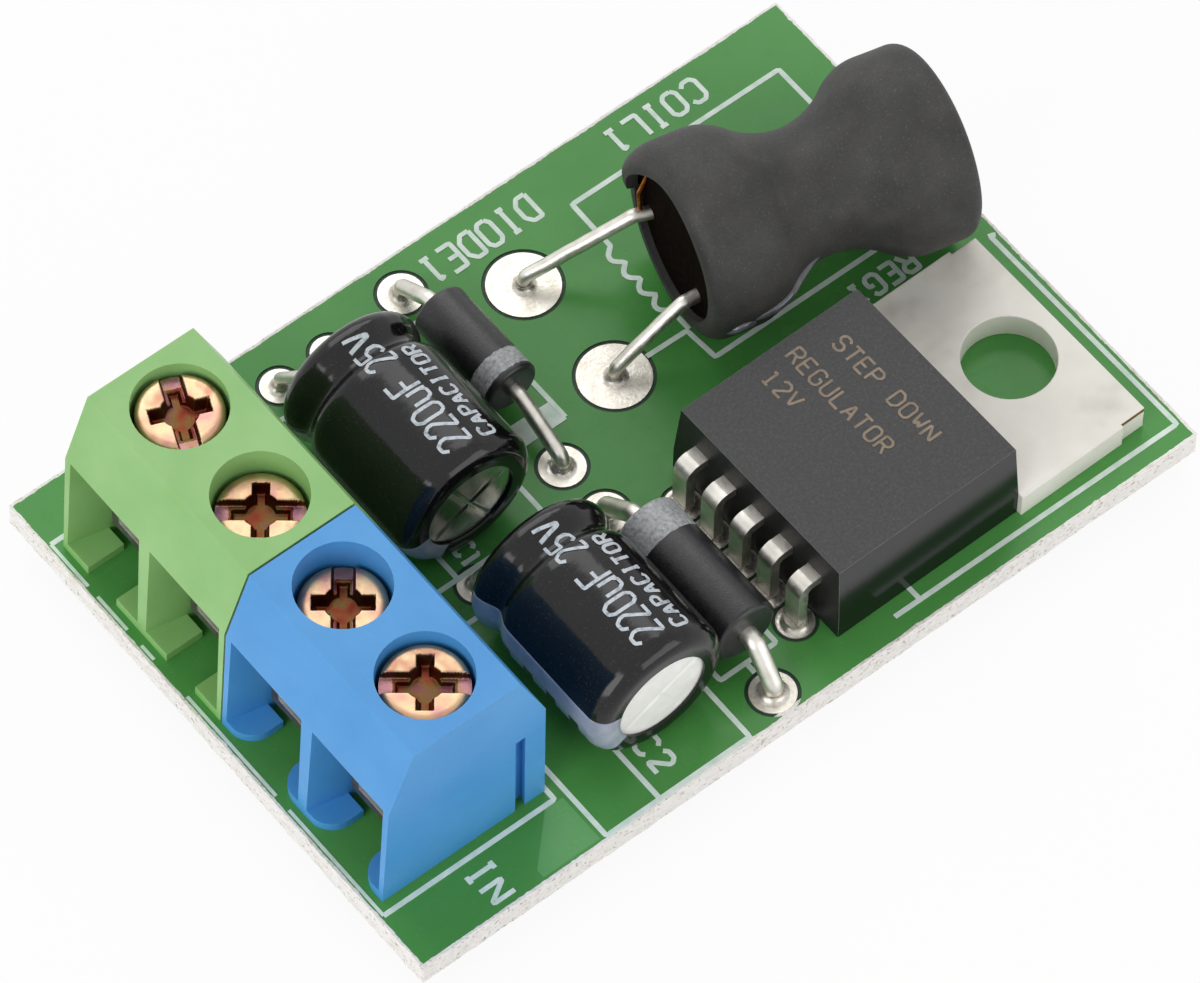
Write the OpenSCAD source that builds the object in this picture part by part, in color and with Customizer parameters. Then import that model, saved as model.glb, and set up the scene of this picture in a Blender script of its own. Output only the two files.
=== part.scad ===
// Step-down converter module: a small circuit board with an output and an input
// terminal block, a flat-lying five-lead regulator, a drum choke in a shrunk
// sleeve, two axial diodes and two capacitors that lie on the board.
// X runs along the board from the wire entries to the regulator's tab, Y runs
// across it, and Z is up from the trimmed tips of the soldered leads.

/* [Board] */
// Length of the board along X
board_l = 38.4; // [38:0.1:50]
// Width of the board along Y
board_w = 26; // [25.8:0.1:36]
// Thickness of the board
board_t = 1.2; // [0.8:0.1:2.4]
// Length of lead left standing below the board
stub_l = 1.2; // [0.8:0.1:2]
// Thickness of the tinned copper
copper_t = 0.06; // [0.04:0.01:0.12]
// Width of bare board between a pad and the green mask
mask_gap = 0.16; // [0.1:0.02:0.3]
// Room between a lead and the plating of its hole
hole_play = 0.15; // [0.1:0.01:0.25]
// Play between pieces that are moulded, plated or soldered together
seat_play = 0.01; // [0.005:0.005:0.03]

/* [Terminal blocks] */
// Distance between neighbouring wire entries
pole_pitch = 5; // [4.8:0.1:6]
// Gap between the two blocks
block_gap = 0.1; // [0.05:0.05:0.4]
// Shift of the pair of blocks along Y
block_shift = 0.2; // [-0.4:0.1:0.4]
// Gap between a block's back and the capacitor behind it
block_cap_gap = 1.26; // [0.4:0.02:1.6]
// Depth of a block from its wire entry to its back
block_depth = 7.85; // [7.6:0.05:8.4]
// Height of a block
block_h = 9.3; // [9:0.1:12]
// Height of the wire entry below its lintel
entry_h = 6.1; // [6:0.05:6.2]
// Lean of the front edge over the height of the entry
front_lean = 0.35; // [0.1:0.05:0.6]
// Distance from a block's front to its flat top
top_set = 1.55; // [1:0.05:2]
// Length of the flat top
top_l = 5.05; // [4.6:0.05:5.4]
// Height of the back wall below the rear slope
back_h = 6.2; // [5.5:0.1:7]
// Thickness of the back wall
back_t = 1; // [0.7:0.05:1.3]
// Thickness of a partition at its front edge
rib_t = 0.5; // [0.3:0.05:0.9]
// Thickness of the sill plates at the foot of an entry
sill_t = 0.45; // [0.3:0.05:0.7]
// Width of the gap between two sill plates
sill_gap = 1.8; // [1.2:0.1:2.4]
// Rounding of the input block's sill plates
sill_round = 1.1; // [0.4:0.1:1.3]
// Radius of the hole over a screw's head
head_hole_r = 1.93; // [1.85:0.01:2.1]
// Thickness of the ledge under a screw's head
ledge_t = 0.4; // [0.3:0.05:0.4]
// Width of the dovetail that joins neighbouring blocks
tail_w = 0.7; // [0.5:0.05:0.9]
// Distance from a block's back to the dovetail's middle
tail_set = 1.2; // [1:0.05:1.5]
// Depth of the dovetail's groove
tail_d = 0.4; // [0.3:0.05:0.45]
// Play round the dovetail's tongue
tail_play = 0.08; // [0.04:0.02:0.12]

/* [Clamps] */
// Distance from a block's back to its screws' axes
screw_set = 3.8; // [3.7:0.05:4]
// Radius of a screw's shank
shank_r = 1.25; // [1.1:0.01:1.3]
// Radial clearance round a screw's shank
shank_play = 0.05; // [0.02:0.01:0.09]
// Length of a screw's shank
shank_l = 3.7; // [3.6:0.05:3.75]
// Radius of a screw's head
head_r = 1.75; // [1.5:0.01:1.8]
// Height of a screw's head
head_h = 1.1; // [0.9:0.05:1.1]
// Rounding of a screw's head
head_round = 0.25; // [0.1:0.05:0.4]
// Width of the driver slot
slot_w = 0.84; // [0.6:0.02:0.9]
// Depth of the driver slot
slot_d = 0.6; // [0.4:0.05:0.7]
// Width of the arms of the cross recess
cross_w = 0.64; // [0.5:0.02:0.9]
// Span of the cross recess
cross_span = 2.4; // [1.8:0.1:2.8]
// Radius of the rounded middle of the recess
recess_r = 0.74; // [0.6:0.02:0.8]
// Depth of each screw's head below the top of its block
head_depth = [0.3, 1.1, 1.25, 0.5];
// Turn of each driver slot from X, in degrees
slot_turn = [66.8, -38.6, 51.8, -38.6];
// Inner width of a clamp cage
cage_in = 2.6; // [2.4:0.05:2.8]
// Wall of a clamp cage
cage_wall = 0.45; // [0.3:0.05:0.5]
// Length of a clamp cage along X
cage_l = 4.4; // [4:0.1:4.5]
// Thickness of a cage's floor
cage_floor = 0.5; // [0.4:0.05:0.6]
// Thickness of a cage's threaded top
cage_top = 1; // [0.8:0.05:1]
// Height of a cage's window between its floor and its top
cage_window = 2.35; // [2.25:0.05:2.35]
// Height of a cage above the board at rest
cage_rest = 0.9; // [0.85:0.05:0.9]
// Play between a cage and its chamber
cage_play = 0.1; // [0.05:0.01:0.15]
// Height of the contact's underside above the board
contact_z = 2.75; // [2.75:0.05:2.8]
// Thickness of the contact
contact_t = 0.4; // [0.3:0.05:0.4]
// Width of the contact
contact_w = 2.4; // [2:0.05:2.4]
// Bend radius of the contact, at the middle of its thickness
contact_bend = 0.5; // [0.3:0.05:0.8]
// Play behind the contact and at its front
contact_play = 0.05; // [0.02:0.01:0.1]
// Width of the contact's soldered tail
tail_pin_w = 1; // [0.8:0.05:1.2]
// Height above the board at which the contact narrows to its tail
tail_pin_z = 0.5; // [0.4:0.05:0.8]
// Pad radius of a terminal tail
terminal_pad_r = 1.1; // [0.9:0.05:1.2]

/* [Regulator] */
// Distance from the diodes' line to the regulator's front
reg_set = 3.45; // [3.2:0.05:4]
// Place of the regulator's front across the board
reg_y = -6.5; // [-6.8:0.05:-6.2]
// Turn of the regulator about Z, in degrees
reg_turn = 0.7; // [0:0.1:2]
// Length of the moulded body
reg_l = 9.1; // [8.6:0.1:9.4]
// Width of the moulded body at its parting line
reg_w = 10; // [9.4:0.1:10.4]
// Height of the moulded body
reg_h = 4.3; // [4:0.1:4.8]
// Draft of the moulded body on each side
reg_draft = 0.25; // [0.1:0.05:0.4]
// Draft of the moulded body at each end
end_draft = 0.1; // [0.05:0.05:0.3]
// Thickness of the tab
tab_t = 1.3; // [1.2:0.05:1.4]
// Width of the tab
tab_w = 10.5; // [10:0.1:10.8]
// Length of the tab past the moulded body
tab_l = 6.4; // [6:0.05:7]
// Width of the tab's root under the moulded body
root_w = 7.6; // [6.8:0.1:8.2]
// Length of the tab's root under the moulded body
root_l = 6.8; // [6:0.1:7.4]
// Length of the notch at the tab's outer corners
notch_l = 1.2; // [0.8:0.1:1.6]
// Depth of the notch at the tab's outer corners
notch_d = 0.15; // [0.1:0.05:0.5]
// Radius of the tab's hole
tab_hole_r = 1.92; // [1.6:0.01:2.1]
// Distance from the tab's end to its hole
tab_hole_set = 2.6; // [2.4:0.05:3]
// Distance between neighbouring leads
reg_pitch = 1.7; // [1.65:0.01:1.8]
// Width of a lead
reg_lead_w = 0.8; // [0.6:0.05:0.9]
// Thickness of a lead
reg_lead_t = 0.45; // [0.3:0.05:0.5]
// Height of the leads where they leave the body
reg_lead_z = 2.7; // [2.4:0.05:3]
// Distance from the body's front to the row of feet
reg_foot = 0.8; // [0.7:0.05:1]
// Bend radius of a lead
reg_bend = 0.42; // [0.3:0.02:0.5]
// Depth to which a lead is moulded in
reg_embed = 1; // [0.6:0.1:1.4]
// Pad radius of a lead
reg_pad_r = 0.78; // [0.74:0.02:0.8]

/* [Choke] */
// Place of the choke's middle along X
choke_x = 12.55; // [12.3:0.05:12.6]
// Gap between the choke's sleeve and the tab
choke_gap = 0.1; // [0.05:0.05:0.4]
// Turn of the choke about Z, in degrees
choke_turn = -12; // [-14:0.5:-8]
// Length of the ferrite drum
drum_l = 11.2; // [10.6:0.1:11.3]
// Radius of the drum's flanges
drum_r = 3.84; // [3.7:0.02:3.9]
// Thickness of the drum's flanges
flange_t = 1.7; // [1.2:0.1:1.7]
// Radius of the drum's core
core_r = 1.6; // [1.2:0.1:1.9]
// Radius of the winding
winding_r = 2.4; // [2.2:0.05:2.6]
// Wall of the shrunk sleeve
sleeve_t = 0.3; // [0.2:0.02:0.4]
// Radius of the bend at the sleeve's waist
waist_bend = 3.4; // [3:0.1:3.6]
// Radius of the bend at the sleeve's shoulders
shoulder_bend = 2.4; // [2:0.1:2.4]
// Rounding of the sleeve's ends
sleeve_round = 0.7; // [0.5:0.05:0.8]
// Width of the rim that the sleeve turns in over each end
sleeve_lip = 0.25; // [0.15:0.05:0.3]
// Radius of the choke's leads
choke_lead_r = 0.29; // [0.2:0.01:0.35]
// Places of the leads on the drum's end, across and up from its axis
choke_exits = [[2.35, -0.95], [-1.75, -1.25]];
// Feet of the leads on the board, from its middle
choke_feet = [[2.85, 8.7], [3, 3.15]];
// Straight length of a lead before its first bend
choke_run = 0.7; // [0.4:0.1:1]
// Bend radius of the choke's leads
choke_bend = 0.45; // [0.3:0.05:0.6]
// Pad radius of a choke's lead
choke_pad_r = 1.52; // [1.2:0.02:1.6]

/* [Diodes] */
// Place of the diodes' common line along X
diode_x = -1.2; // [-1.4:0.05:-1]
// Radius of the output diode's body
diode_1_r = 1.2; // [1:0.05:1.3]
// Length of the output diode's body
diode_1_l = 4.8; // [4.4:0.1:5.2]
// Place of the output diode's middle along Y
diode_1_y = 6.65; // [6.4:0.05:6.9]
// Height of the output diode's axis above the board
diode_1_z = 1.8; // [1.5:0.05:2.2]
// Radius of the output diode's leads
diode_1_lead_r = 0.33; // [0.25:0.01:0.4]
// Radius of the input diode's body
diode_2_r = 1.45; // [1.2:0.05:1.55]
// Length of the input diode's body
diode_2_l = 6.3; // [5.8:0.1:6.6]
// Place of the input diode's middle along Y
diode_2_y = -7; // [-7.1:0.05:-6.8]
// Height of the input diode's axis above the board
diode_2_z = 2.2; // [1.8:0.05:2.4]
// Radius of the input diode's leads
diode_2_lead_r = 0.4; // [0.3:0.01:0.45]
// Rounding of a diode's ends
diode_round = 0.2; // [0.1:0.05:0.4]
// Depth to which a diode's lead is moulded in
diode_embed = 0.8; // [0.5:0.1:1.2]
// Straight length of a diode's lead before its first bend
diode_run = 0.5; // [0.4:0.05:0.6]
// Bend radius of a diode's leads
diode_bend = 0.5; // [0.3:0.05:0.6]
// Feet of the output diode's leads along Y
diode_1_feet = [11.35, 1.15];
// Feet of the input diode's leads along Y
diode_2_feet = [-1.55, -11.85];
// Pad radius of a diode's lead
diode_pad_r = 0.95; // [0.85:0.05:1]

/* [Capacitors] */
// Radius of a capacitor's can
can_r = 3.08; // [2.8:0.02:3.3]
// Length of a capacitor's can
can_l = 7.9; // [7.4:0.1:8.2]
// Rounding of a can's closed end
can_round = 0.6; // [0.3:0.05:0.9]
// Radius of the crimp bead rolled into a can
bead_r = 0.75; // [0.6:0.05:0.9]
// Depth of the crimp bead
bead_d = 0.35; // [0.2:0.05:0.45]
// Distance from a can's lead end to its crimp bead
bead_set = 1.5; // [1.3:0.05:1.8]
// Wall of a capacitor's sleeve
skin_t = 0.12; // [0.08:0.01:0.2]
// Radius of the bare metal at a can's closed end
bare_r = 2.05; // [1.4:0.05:2.2]
// Radius of the rubber bung
bung_r = 2.55; // [2.3:0.05:2.7]
// Thickness of the rubber bung
bung_t = 1.2; // [0.8:0.1:1.6]
// Gap between the output capacitor and its diode
cap_1_gap = 0.93; // [0.6:0.01:1.1]
// Gap between the input capacitor and its diode
cap_2_gap = 0.15; // [0.1:0.01:0.3]
// Place of the output capacitor's middle along Y
cap_1_y = 4.45; // [4.3:0.05:4.6]
// Place of the input capacitor's middle along Y
cap_2_y = -6.75; // [-6.9:0.05:-6.6]
// Radius of a capacitor's leads
cap_lead_r = 0.25; // [0.2:0.01:0.3]
// Distance between a capacitor's leads
cap_pitch = 2.5; // [2.4:0.05:2.6]
// Feet of each capacitor's leads along Y
cap_feet = [10.9, -1.05];
// Straight length of a capacitor's lead before its first bend
cap_run = 0.5; // [0.4:0.05:0.7]
// Bend radius of a capacitor's leads
cap_bend = 0.5; // [0.3:0.05:0.6]
// Lift of a lying part off the board
lie_gap = 0.02; // [0.01:0.01:0.06]
// Pad radius of a capacitor's lead
cap_pad_r = 0.8; // [0.7:0.02:0.84]

/* [Solder] */
// Height at which a round lead turns down into the board
turn_z = 0.55; // [0.45:0.05:0.7]
// Height of the solder drawn up round a lead above the board
rise_h = 0.3; // [0.2:0.02:0.4]
// Share of a lead's stub that the solder below the board covers
drop_share = 0.8; // [0.6:0.05:0.95]
// Width of the solder's rim at the end of a lead
drop_rim = 0.1; // [0.05:0.01:0.15]

/* [Hidden] */
$fn = 64;
over = 1;
bend_lap = 2 * seat_play;
bend_swell = seat_play / 2;
board_top = stub_l + board_t;
tip_z = -board_top;

// The clamps and blocks, from the block's back and the board's top
block_w = 2 * pole_pitch;
cage_w = cage_in + 2 * cage_wall;
cage_h = cage_floor + cage_window + cage_top;
chamber_w = cage_w + 2 * cage_play;
entry_w = pole_pitch - rib_t;
ledge_z = entry_h + ledge_t;
shank_hole_r = shank_r + shank_play;
contact_back = -back_t - contact_play;
contact_front = -screw_set - cage_l / 2 - contact_play;
chamber_front = -screw_set - cage_l / 2 - cage_play;
tail_pin_x = contact_back - contact_t / 2;

// The lying parts, from the board's top
cap_r = can_r + skin_t + seat_play;
cap_z = cap_r + lie_gap;
cap_1_x = diode_x - sqrt(pow(cap_r + diode_1_r + cap_1_gap, 2) - pow(cap_z - diode_1_z, 2));
cap_2_x = diode_x - sqrt(pow(cap_r + diode_2_r + cap_2_gap, 2) - pow(cap_z - diode_2_z, 2));
block_back_x = cap_1_x - cap_r - block_cap_gap;
reg_x = diode_x + reg_set;
tab_end = reg_l + tab_l;
sleeve_r = drum_r + seat_play + sleeve_t;
choke_z = sleeve_r + lie_gap;

// The choke lies beside the tab's near corner
corner_x = reg_x + tab_end * cos(reg_turn) - tab_w / 2 * sin(reg_turn);
corner_y = reg_y + tab_end * sin(reg_turn) + tab_w / 2 * cos(reg_turn);
choke_chord = sqrt(pow(sleeve_r, 2) - pow(choke_z - tab_t, 2));
choke_y = corner_y + choke_gap + choke_chord / cos(choke_turn)
    - (corner_x - choke_x) * tan(choke_turn);

function block_y(b) = block_shift + (b == 0 ? 1 : -1) * (block_w + block_gap) / 2;
function pole_y(p) = block_y(floor(p / 2)) + (p % 2 == 0 ? 1 : -1) * pole_pitch / 2;
function lead_y(i) = (2 - i) * reg_pitch;
function cap_x(c) = c == 0 ? cap_1_x : cap_2_x;
function cap_y(c) = c == 0 ? cap_1_y : cap_2_y;
function reg_spot(x, y) =
    [reg_x + x * cos(reg_turn) - y * sin(reg_turn), reg_y + x * sin(reg_turn) + y * cos(reg_turn)];
function choke_spot(x, y) =
    [choke_x + x * cos(choke_turn) - y * sin(choke_turn),
     choke_y + x * sin(choke_turn) + y * cos(choke_turn)];
function arc(c, r, from, to, steps) =
    [for (i = [0 : steps]) let (a = from + (to - from) * i / steps) c + r * [cos(a), sin(a)]];
function heading(a, b) = atan2(b[1] - a[1], b[0] - a[0]);
function wrapped(a) = a > 180 ? a - 360 : a < -180 ? a + 360 : a;
function half_diagonal(w, t) = sqrt(w * w + t * t) / 2;

// Every plated hole: its place, its hole radius and its pad radius
terminal_holes = [for (p = [0 : 3])
    [block_back_x + tail_pin_x, pole_y(p), half_diagonal(tail_pin_w, contact_t) + hole_play, terminal_pad_r]];
choke_holes = [for (foot = choke_feet) [foot[0], foot[1], choke_lead_r + hole_play, choke_pad_r]];
diode_1_holes = [for (y = diode_1_feet) [diode_x, y, diode_1_lead_r + hole_play, diode_pad_r]];
diode_2_holes = [for (y = diode_2_feet) [diode_x, y, diode_2_lead_r + hole_play, diode_pad_r]];
cap_holes = [for (c = [0, 1], side = [-1, 1])
    [cap_x(c) + side * cap_pitch / 2, cap_feet[c], cap_lead_r + hole_play, cap_pad_r]];
reg_holes = [for (i = [0 : 4]) let (spot = reg_spot(-reg_foot, lead_y(i)))
    [spot[0], spot[1], half_diagonal(reg_lead_w, reg_lead_t) + hole_play, reg_pad_r]];
holes = concat(terminal_holes, choke_holes, diode_1_holes, diode_2_holes, cap_holes, reg_holes);

// Sweeps a flat section along straight runs joined by round bends. The points
// lie in the XY plane, and the section's own Y stands along Z. A section grows
// by $swell in the bends, and the runs lap into them, so that they join cleanly.
module bent(points, bend_r) {
    last = len(points) - 1;
    headings = [for (i = [0 : last - 1]) heading(points[i], points[i + 1])];
    turns = [for (i = [0 : last]) i == 0 || i == last ? 0 : wrapped(headings[i] - headings[i - 1])];
    cuts = [for (turn = turns) turn == 0 ? 0 : bend_r * tan(abs(turn) / 2)];
    laps = [for (turn = turns) turn == 0 ? 0 : bend_lap];
    for (i = [0 : last - 1]) {
        way = [cos(headings[i]), sin(headings[i])];
        run = norm(points[i + 1] - points[i]) - cuts[i] - cuts[i + 1];
        translate(points[i] + way * (cuts[i] - laps[i]))
            rotate([90, 0, headings[i] + 90])
                linear_extrude(run + laps[i] + laps[i + 1])
                    let ($swell = 0) children();
        if (turns[i] != 0) {
            side = sign(turns[i]);
            inward = headings[i] + 90 * side;
            translate(points[i] + way * cuts[i] + bend_r * [cos(inward), sin(inward)])
                rotate(side > 0 ? headings[i - 1] - 90 : headings[i] + 90)
                    rotate_extrude(angle = abs(turns[i]))
                        translate([bend_r, 0])
                            let ($swell = bend_swell) children();
        }
    }
}

// Stands a shape drawn in XY upright, so that its Y points up
module upright() {
    rotate([90, 0, 0])
        children();
}

module on_board() {
    translate([0, 0, board_top])
        children();
}

module circuit_board() {
    color("forestgreen")
        difference() {
            translate([-board_l / 2, -board_w / 2, stub_l])
                cube([board_l, board_w, board_t]);
            for (h = holes) {
                translate([h[0], h[1], 0])
                    cylinder(r = h[2] + copper_t + seat_play, h = board_top + over);
                translate([h[0], h[1], board_top - copper_t])
                    cylinder(r = h[3] + mask_gap, h = over);
                translate([h[0], h[1], stub_l + copper_t - over])
                    cylinder(r = h[3] + mask_gap, h = over);
            }
        }
}

// One tinned eyelet: a pad on each face of the board and the barrel between
module eyelet(hole_r, pad_r) {
    difference() {
        union() {
            cylinder(r = pad_r, h = copper_t);
            cylinder(r = hole_r + copper_t, h = board_t);
            translate([0, 0, board_t - copper_t])
                cylinder(r = pad_r, h = copper_t);
        }
        translate([0, 0, -over])
            cylinder(r = hole_r, h = board_t + 2 * over);
    }
}

module plated_holes() {
    color("lightgray")
        for (h = holes)
            translate([h[0], h[1], stub_l])
                eyelet(h[2], h[3]);
}

// Side outline of a terminal block, from its back at the board's top
module block_outline() {
    polygon([
        [-block_depth, 0],
        [-block_depth + front_lean, entry_h],
        [-block_depth + top_set, block_h],
        [-block_depth + top_set + top_l, block_h],
        [0, back_h],
        [0, 0]
    ]);
}

// Plan of one wire entry, narrowing from the partitions' edges to the chamber
module entry_plan() {
    polygon([
        [-block_depth - over, -entry_w / 2],
        [-block_depth, -entry_w / 2],
        [chamber_front, -chamber_w / 2],
        [chamber_front + over, -chamber_w / 2],
        [chamber_front + over, chamber_w / 2],
        [chamber_front, chamber_w / 2],
        [-block_depth, entry_w / 2],
        [-block_depth - over, entry_w / 2]
    ]);
}

// Plan of the two sill plates at the foot of a wire entry
module sill_plan(round_r) {
    plate_w = (pole_pitch - sill_gap) / 2;
    reach = chamber_front + block_depth;
    for (side = [0, 1])
        mirror([0, side])
            translate([-block_depth, sill_gap / 2])
                difference() {
                    square([reach, plate_w]);
                    if (round_r > 0)
                        difference() {
                            square(round_r);
                            translate([round_r, round_r])
                                circle(round_r);
                        }
                }
}

// Plan of the dovetail, with its root on the block's side and its wide end out
module dovetail_plan(width, depth) {
    polygon([
        [-width / 3, -over],
        [-width / 3, 0],
        [-width / 2, depth],
        [width / 2, depth],
        [width / 3, 0],
        [width / 3, -over]
    ]);
}

module terminal_housing(round_r) {
    difference() {
        union() {
            translate([0, block_w / 2, 0])
                upright()
                    linear_extrude(block_w)
                        block_outline();
            translate([-tail_set, block_w / 2, 0])
                linear_extrude(back_h - tail_set)
                    dovetail_plan(tail_w - 2 * tail_play, tail_d - tail_play);
        }
        translate([-tail_set, -block_w / 2, -over])
            linear_extrude(back_h - tail_set + tail_play + over)
                dovetail_plan(tail_w, tail_d);
        for (y = [-pole_pitch / 2, pole_pitch / 2])
            translate([0, y, 0])
                pole_cavity(round_r);
    }
}

// The room that one pole leaves in its block
module pole_cavity(round_r) {
    translate([chamber_front, -chamber_w / 2, -over])
        cube([-back_t - chamber_front, chamber_w, entry_h + over]);
    difference() {
        translate([0, 0, -over])
            linear_extrude(entry_h + over)
                entry_plan();
        linear_extrude(sill_t)
            sill_plan(round_r);
    }
    translate([-screw_set, 0, 0])
        cylinder(r = shank_hole_r, h = block_h);
    translate([-screw_set, 0, ledge_z])
        cylinder(r = head_hole_r, h = block_h);
}

module on_block(b) {
    translate([block_back_x, block_y(b), board_top])
        children();
}

module on_pole(p) {
    translate([block_back_x, pole_y(p), board_top])
        children();
}

module output_housing() {
    color("darkseagreen")
        on_block(0)
            terminal_housing(0);
}

module input_housing() {
    color("steelblue")
        on_block(1)
            terminal_housing(sill_round);
}

// Half outline of a screw, from the tip of its shank up
module screw_outline() {
    square([shank_r, shank_l + over / 2]);
    translate([0, shank_l])
        difference() {
            square([head_r, head_h]);
            translate([head_r - head_round, head_h - head_round])
                difference() {
                    square(head_round);
                    circle(head_round);
                }
        }
}

// A clamp screw with a full slot and a shorter cross recess
module clamp_screw(p) {
    color("burlywood")
        on_pole(p)
            translate([-screw_set, 0, block_h - head_depth[p] - head_h - shank_l])
                difference() {
                    rotate_extrude()
                        screw_outline();
                    translate([0, 0, shank_l + head_h - slot_d])
                        rotate(slot_turn[p]) {
                            translate([-head_r - over, -slot_w / 2, 0])
                                cube([2 * (head_r + over), slot_w, over]);
                            translate([-cross_w / 2, -cross_span / 2, 0])
                                cube([cross_w, cross_span, over]);
                            translate([-cross_span / 2, -cross_w / 2, 0])
                                cube([cross_span, cross_w, over]);
                            cylinder(r = recess_r, h = over);
                        }
                }
}

// A square clamp cage: a tube along X whose top takes the screw
module clamp_cage(p) {
    color("silver")
        on_pole(p)
            translate([-screw_set, 0, cage_rest])
                difference() {
                    translate([-cage_l / 2, -cage_w / 2, 0])
                        cube([cage_l, cage_w, cage_h]);
                    translate([-cage_l / 2 - over, -cage_in / 2, cage_floor])
                        cube([cage_l + 2 * over, cage_in, cage_window]);
                    translate([0, 0, cage_floor])
                        cylinder(r = shank_hole_r, h = cage_h);
                }
}

// The fixed contact: a strip through the cage, bent down to a soldered tail
module contact_strip(p) {
    middle = contact_z + contact_t / 2;
    color("gainsboro")
        on_pole(p)
            upright()
                union() {
                    bent([[contact_front, middle], [tail_pin_x, middle], [tail_pin_x, tail_pin_z]], contact_bend)
                        square([contact_t, contact_w] + 2 * $swell * [1, 1], center = true);
                    bent([[tail_pin_x, tail_pin_z], [tail_pin_x, tip_z]], contact_bend)
                        square([contact_t, tail_pin_w] + 2 * $swell * [1, 1], center = true);
                }
}

module on_regulator() {
    translate([reg_x, reg_y, board_top])
        rotate(reg_turn)
            children();
}

// Outline of the tab in plan, with its narrower root under the body
module tab_plan() {
    difference() {
        union() {
            translate([reg_l - root_l, -root_w / 2])
                square([root_l + over, root_w]);
            translate([reg_l, -tab_w / 2])
                square([tab_l, tab_w]);
        }
        for (side = [-1, 1])
            translate([tab_end - notch_l / 2 + over / 2, side * (tab_w / 2 - notch_d / 2 + over / 2)])
                square([notch_l + over, notch_d + over], center = true);
        translate([tab_end - tab_hole_set, 0])
            circle(tab_hole_r);
    }
}

module regulator_tab() {
    color("lightgray")
        on_regulator()
            linear_extrude(tab_t)
                tab_plan();
}

// The five leads leave the body flat and turn down to one row of feet
module lead_strip(i, play) {
    translate([0, lead_y(i), 0])
        upright()
            bent([[reg_embed, reg_lead_z], [-reg_foot, reg_lead_z], [-reg_foot, tip_z]], reg_bend)
                square([reg_lead_t, reg_lead_w] + 2 * (play + $swell) * [1, 1], center = true);
}

module regulator_lead(i) {
    color("silver")
        on_regulator()
            lead_strip(i, 0);
}

// Half width and end places of the body narrow evenly from the parting line up
module regulator_body() {
    color("dimgray")
        on_regulator()
            difference() {
                intersection() {
                    translate([0, reg_w, 0])
                        upright()
                            linear_extrude(2 * reg_w)
                                polygon([
                                    [0, 0], [0, tab_t], [end_draft, reg_h],
                                    [reg_l - end_draft, reg_h], [reg_l, tab_t], [reg_l, 0]
                                ]);
                    rotate([90, 0, 90])
                        linear_extrude(reg_l)
                            polygon([
                                [-reg_w / 2, 0], [-reg_w / 2, tab_t], [reg_draft - reg_w / 2, reg_h],
                                [reg_w / 2 - reg_draft, reg_h], [reg_w / 2, tab_t], [reg_w / 2, 0]
                            ]);
                }
                translate([reg_l - root_l - seat_play, -root_w / 2 - seat_play, -over])
                    cube([root_l + over, root_w + 2 * seat_play, tab_t + seat_play + over]);
                for (i = [0 : 4])
                    translate([0, lead_y(i), reg_lead_z])
                        cube([
                            2 * (reg_embed + seat_play),
                            reg_lead_w + 2 * seat_play,
                            reg_lead_t + 2 * seat_play
                        ], center = true);
            }
}

module on_choke() {
    translate([choke_x, choke_y, board_top + choke_z])
        rotate(choke_turn)
            children();
}

// Turns a half outline, drawn with its axis along Y, about the X axis
module turned() {
    rotate([0, 90, 0])
        rotate_extrude()
            children();
}

// Path of one choke lead from inside the drum's near end to below the board
module choke_wire(i, play) {
    exit = choke_spot(-drum_l / 2, choke_exits[i][0]);
    exit_z = choke_z + choke_exits[i][1];
    foot = choke_feet[i];
    reach = norm(foot - exit);
    translate([exit[0], exit[1], board_top])
        rotate(heading(exit, foot))
            upright()
                bent([
                    [-flange_t / 2, exit_z], [choke_run, exit_z], [reach, turn_z], [reach, tip_z]
                ], choke_bend)
                    circle(choke_lead_r + play + $swell);
}

module choke_lead(i) {
    color("silver")
        choke_wire(i, 0);
}

// Half outline of a drum's flange, with its outer edge rounded as the sleeve is
module flange_outline() {
    edge_r = sleeve_round - sleeve_t - seat_play;
    difference() {
        square([drum_r, flange_t]);
        translate([drum_r - edge_r, flange_t - edge_r])
            difference() {
                square(edge_r + over);
                circle(edge_r);
            }
    }
}

module choke_drum() {
    color("darkslategray")
        difference() {
            on_choke()
                turned()
                    union() {
                        translate([0, -drum_l / 2])
                            square([core_r, drum_l]);
                        for (side = [0, 1])
                            mirror([0, side])
                                translate([0, drum_l / 2 - flange_t])
                                    flange_outline();
                    }
            choke_wire(0, seat_play);
            choke_wire(1, seat_play);
        }
}

module choke_winding() {
    gap = drum_l - 2 * flange_t - 2 * seat_play;
    color("peru")
        on_choke()
            turned()
                translate([core_r + seat_play, -gap / 2])
                    square([winding_r - core_r - seat_play, gap]);
}

// Half outline of the shrunk sleeve's skin, drawn in from its outside by inset
function sleeve_skin(inset) = let (
    waist = winding_r + seat_play + sleeve_t - inset,
    rim = sleeve_r - inset,
    end = drum_l / 2 + seat_play + sleeve_t - inset,
    in_bend = waist_bend + inset,
    out_bend = shoulder_bend - inset,
    round_r = sleeve_round - inset,
    both = in_bend + out_bend,
    fall = rim - waist,
    place = sqrt(both * both - pow(both - fall, 2)),
    sweep = acos((both - fall) / both)
) concat(
    arc([rim - round_r, -end + round_r], round_r, -90, 0, 6),
    arc([rim - out_bend, -place], out_bend, 0, sweep, 6),
    arc([waist + in_bend, 0], in_bend, 180 + sweep, 180 - sweep, 12),
    arc([rim - out_bend, place], out_bend, -sweep, 0, 6),
    arc([rim - round_r, end - round_r], round_r, 0, 90, 6)
);

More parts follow.
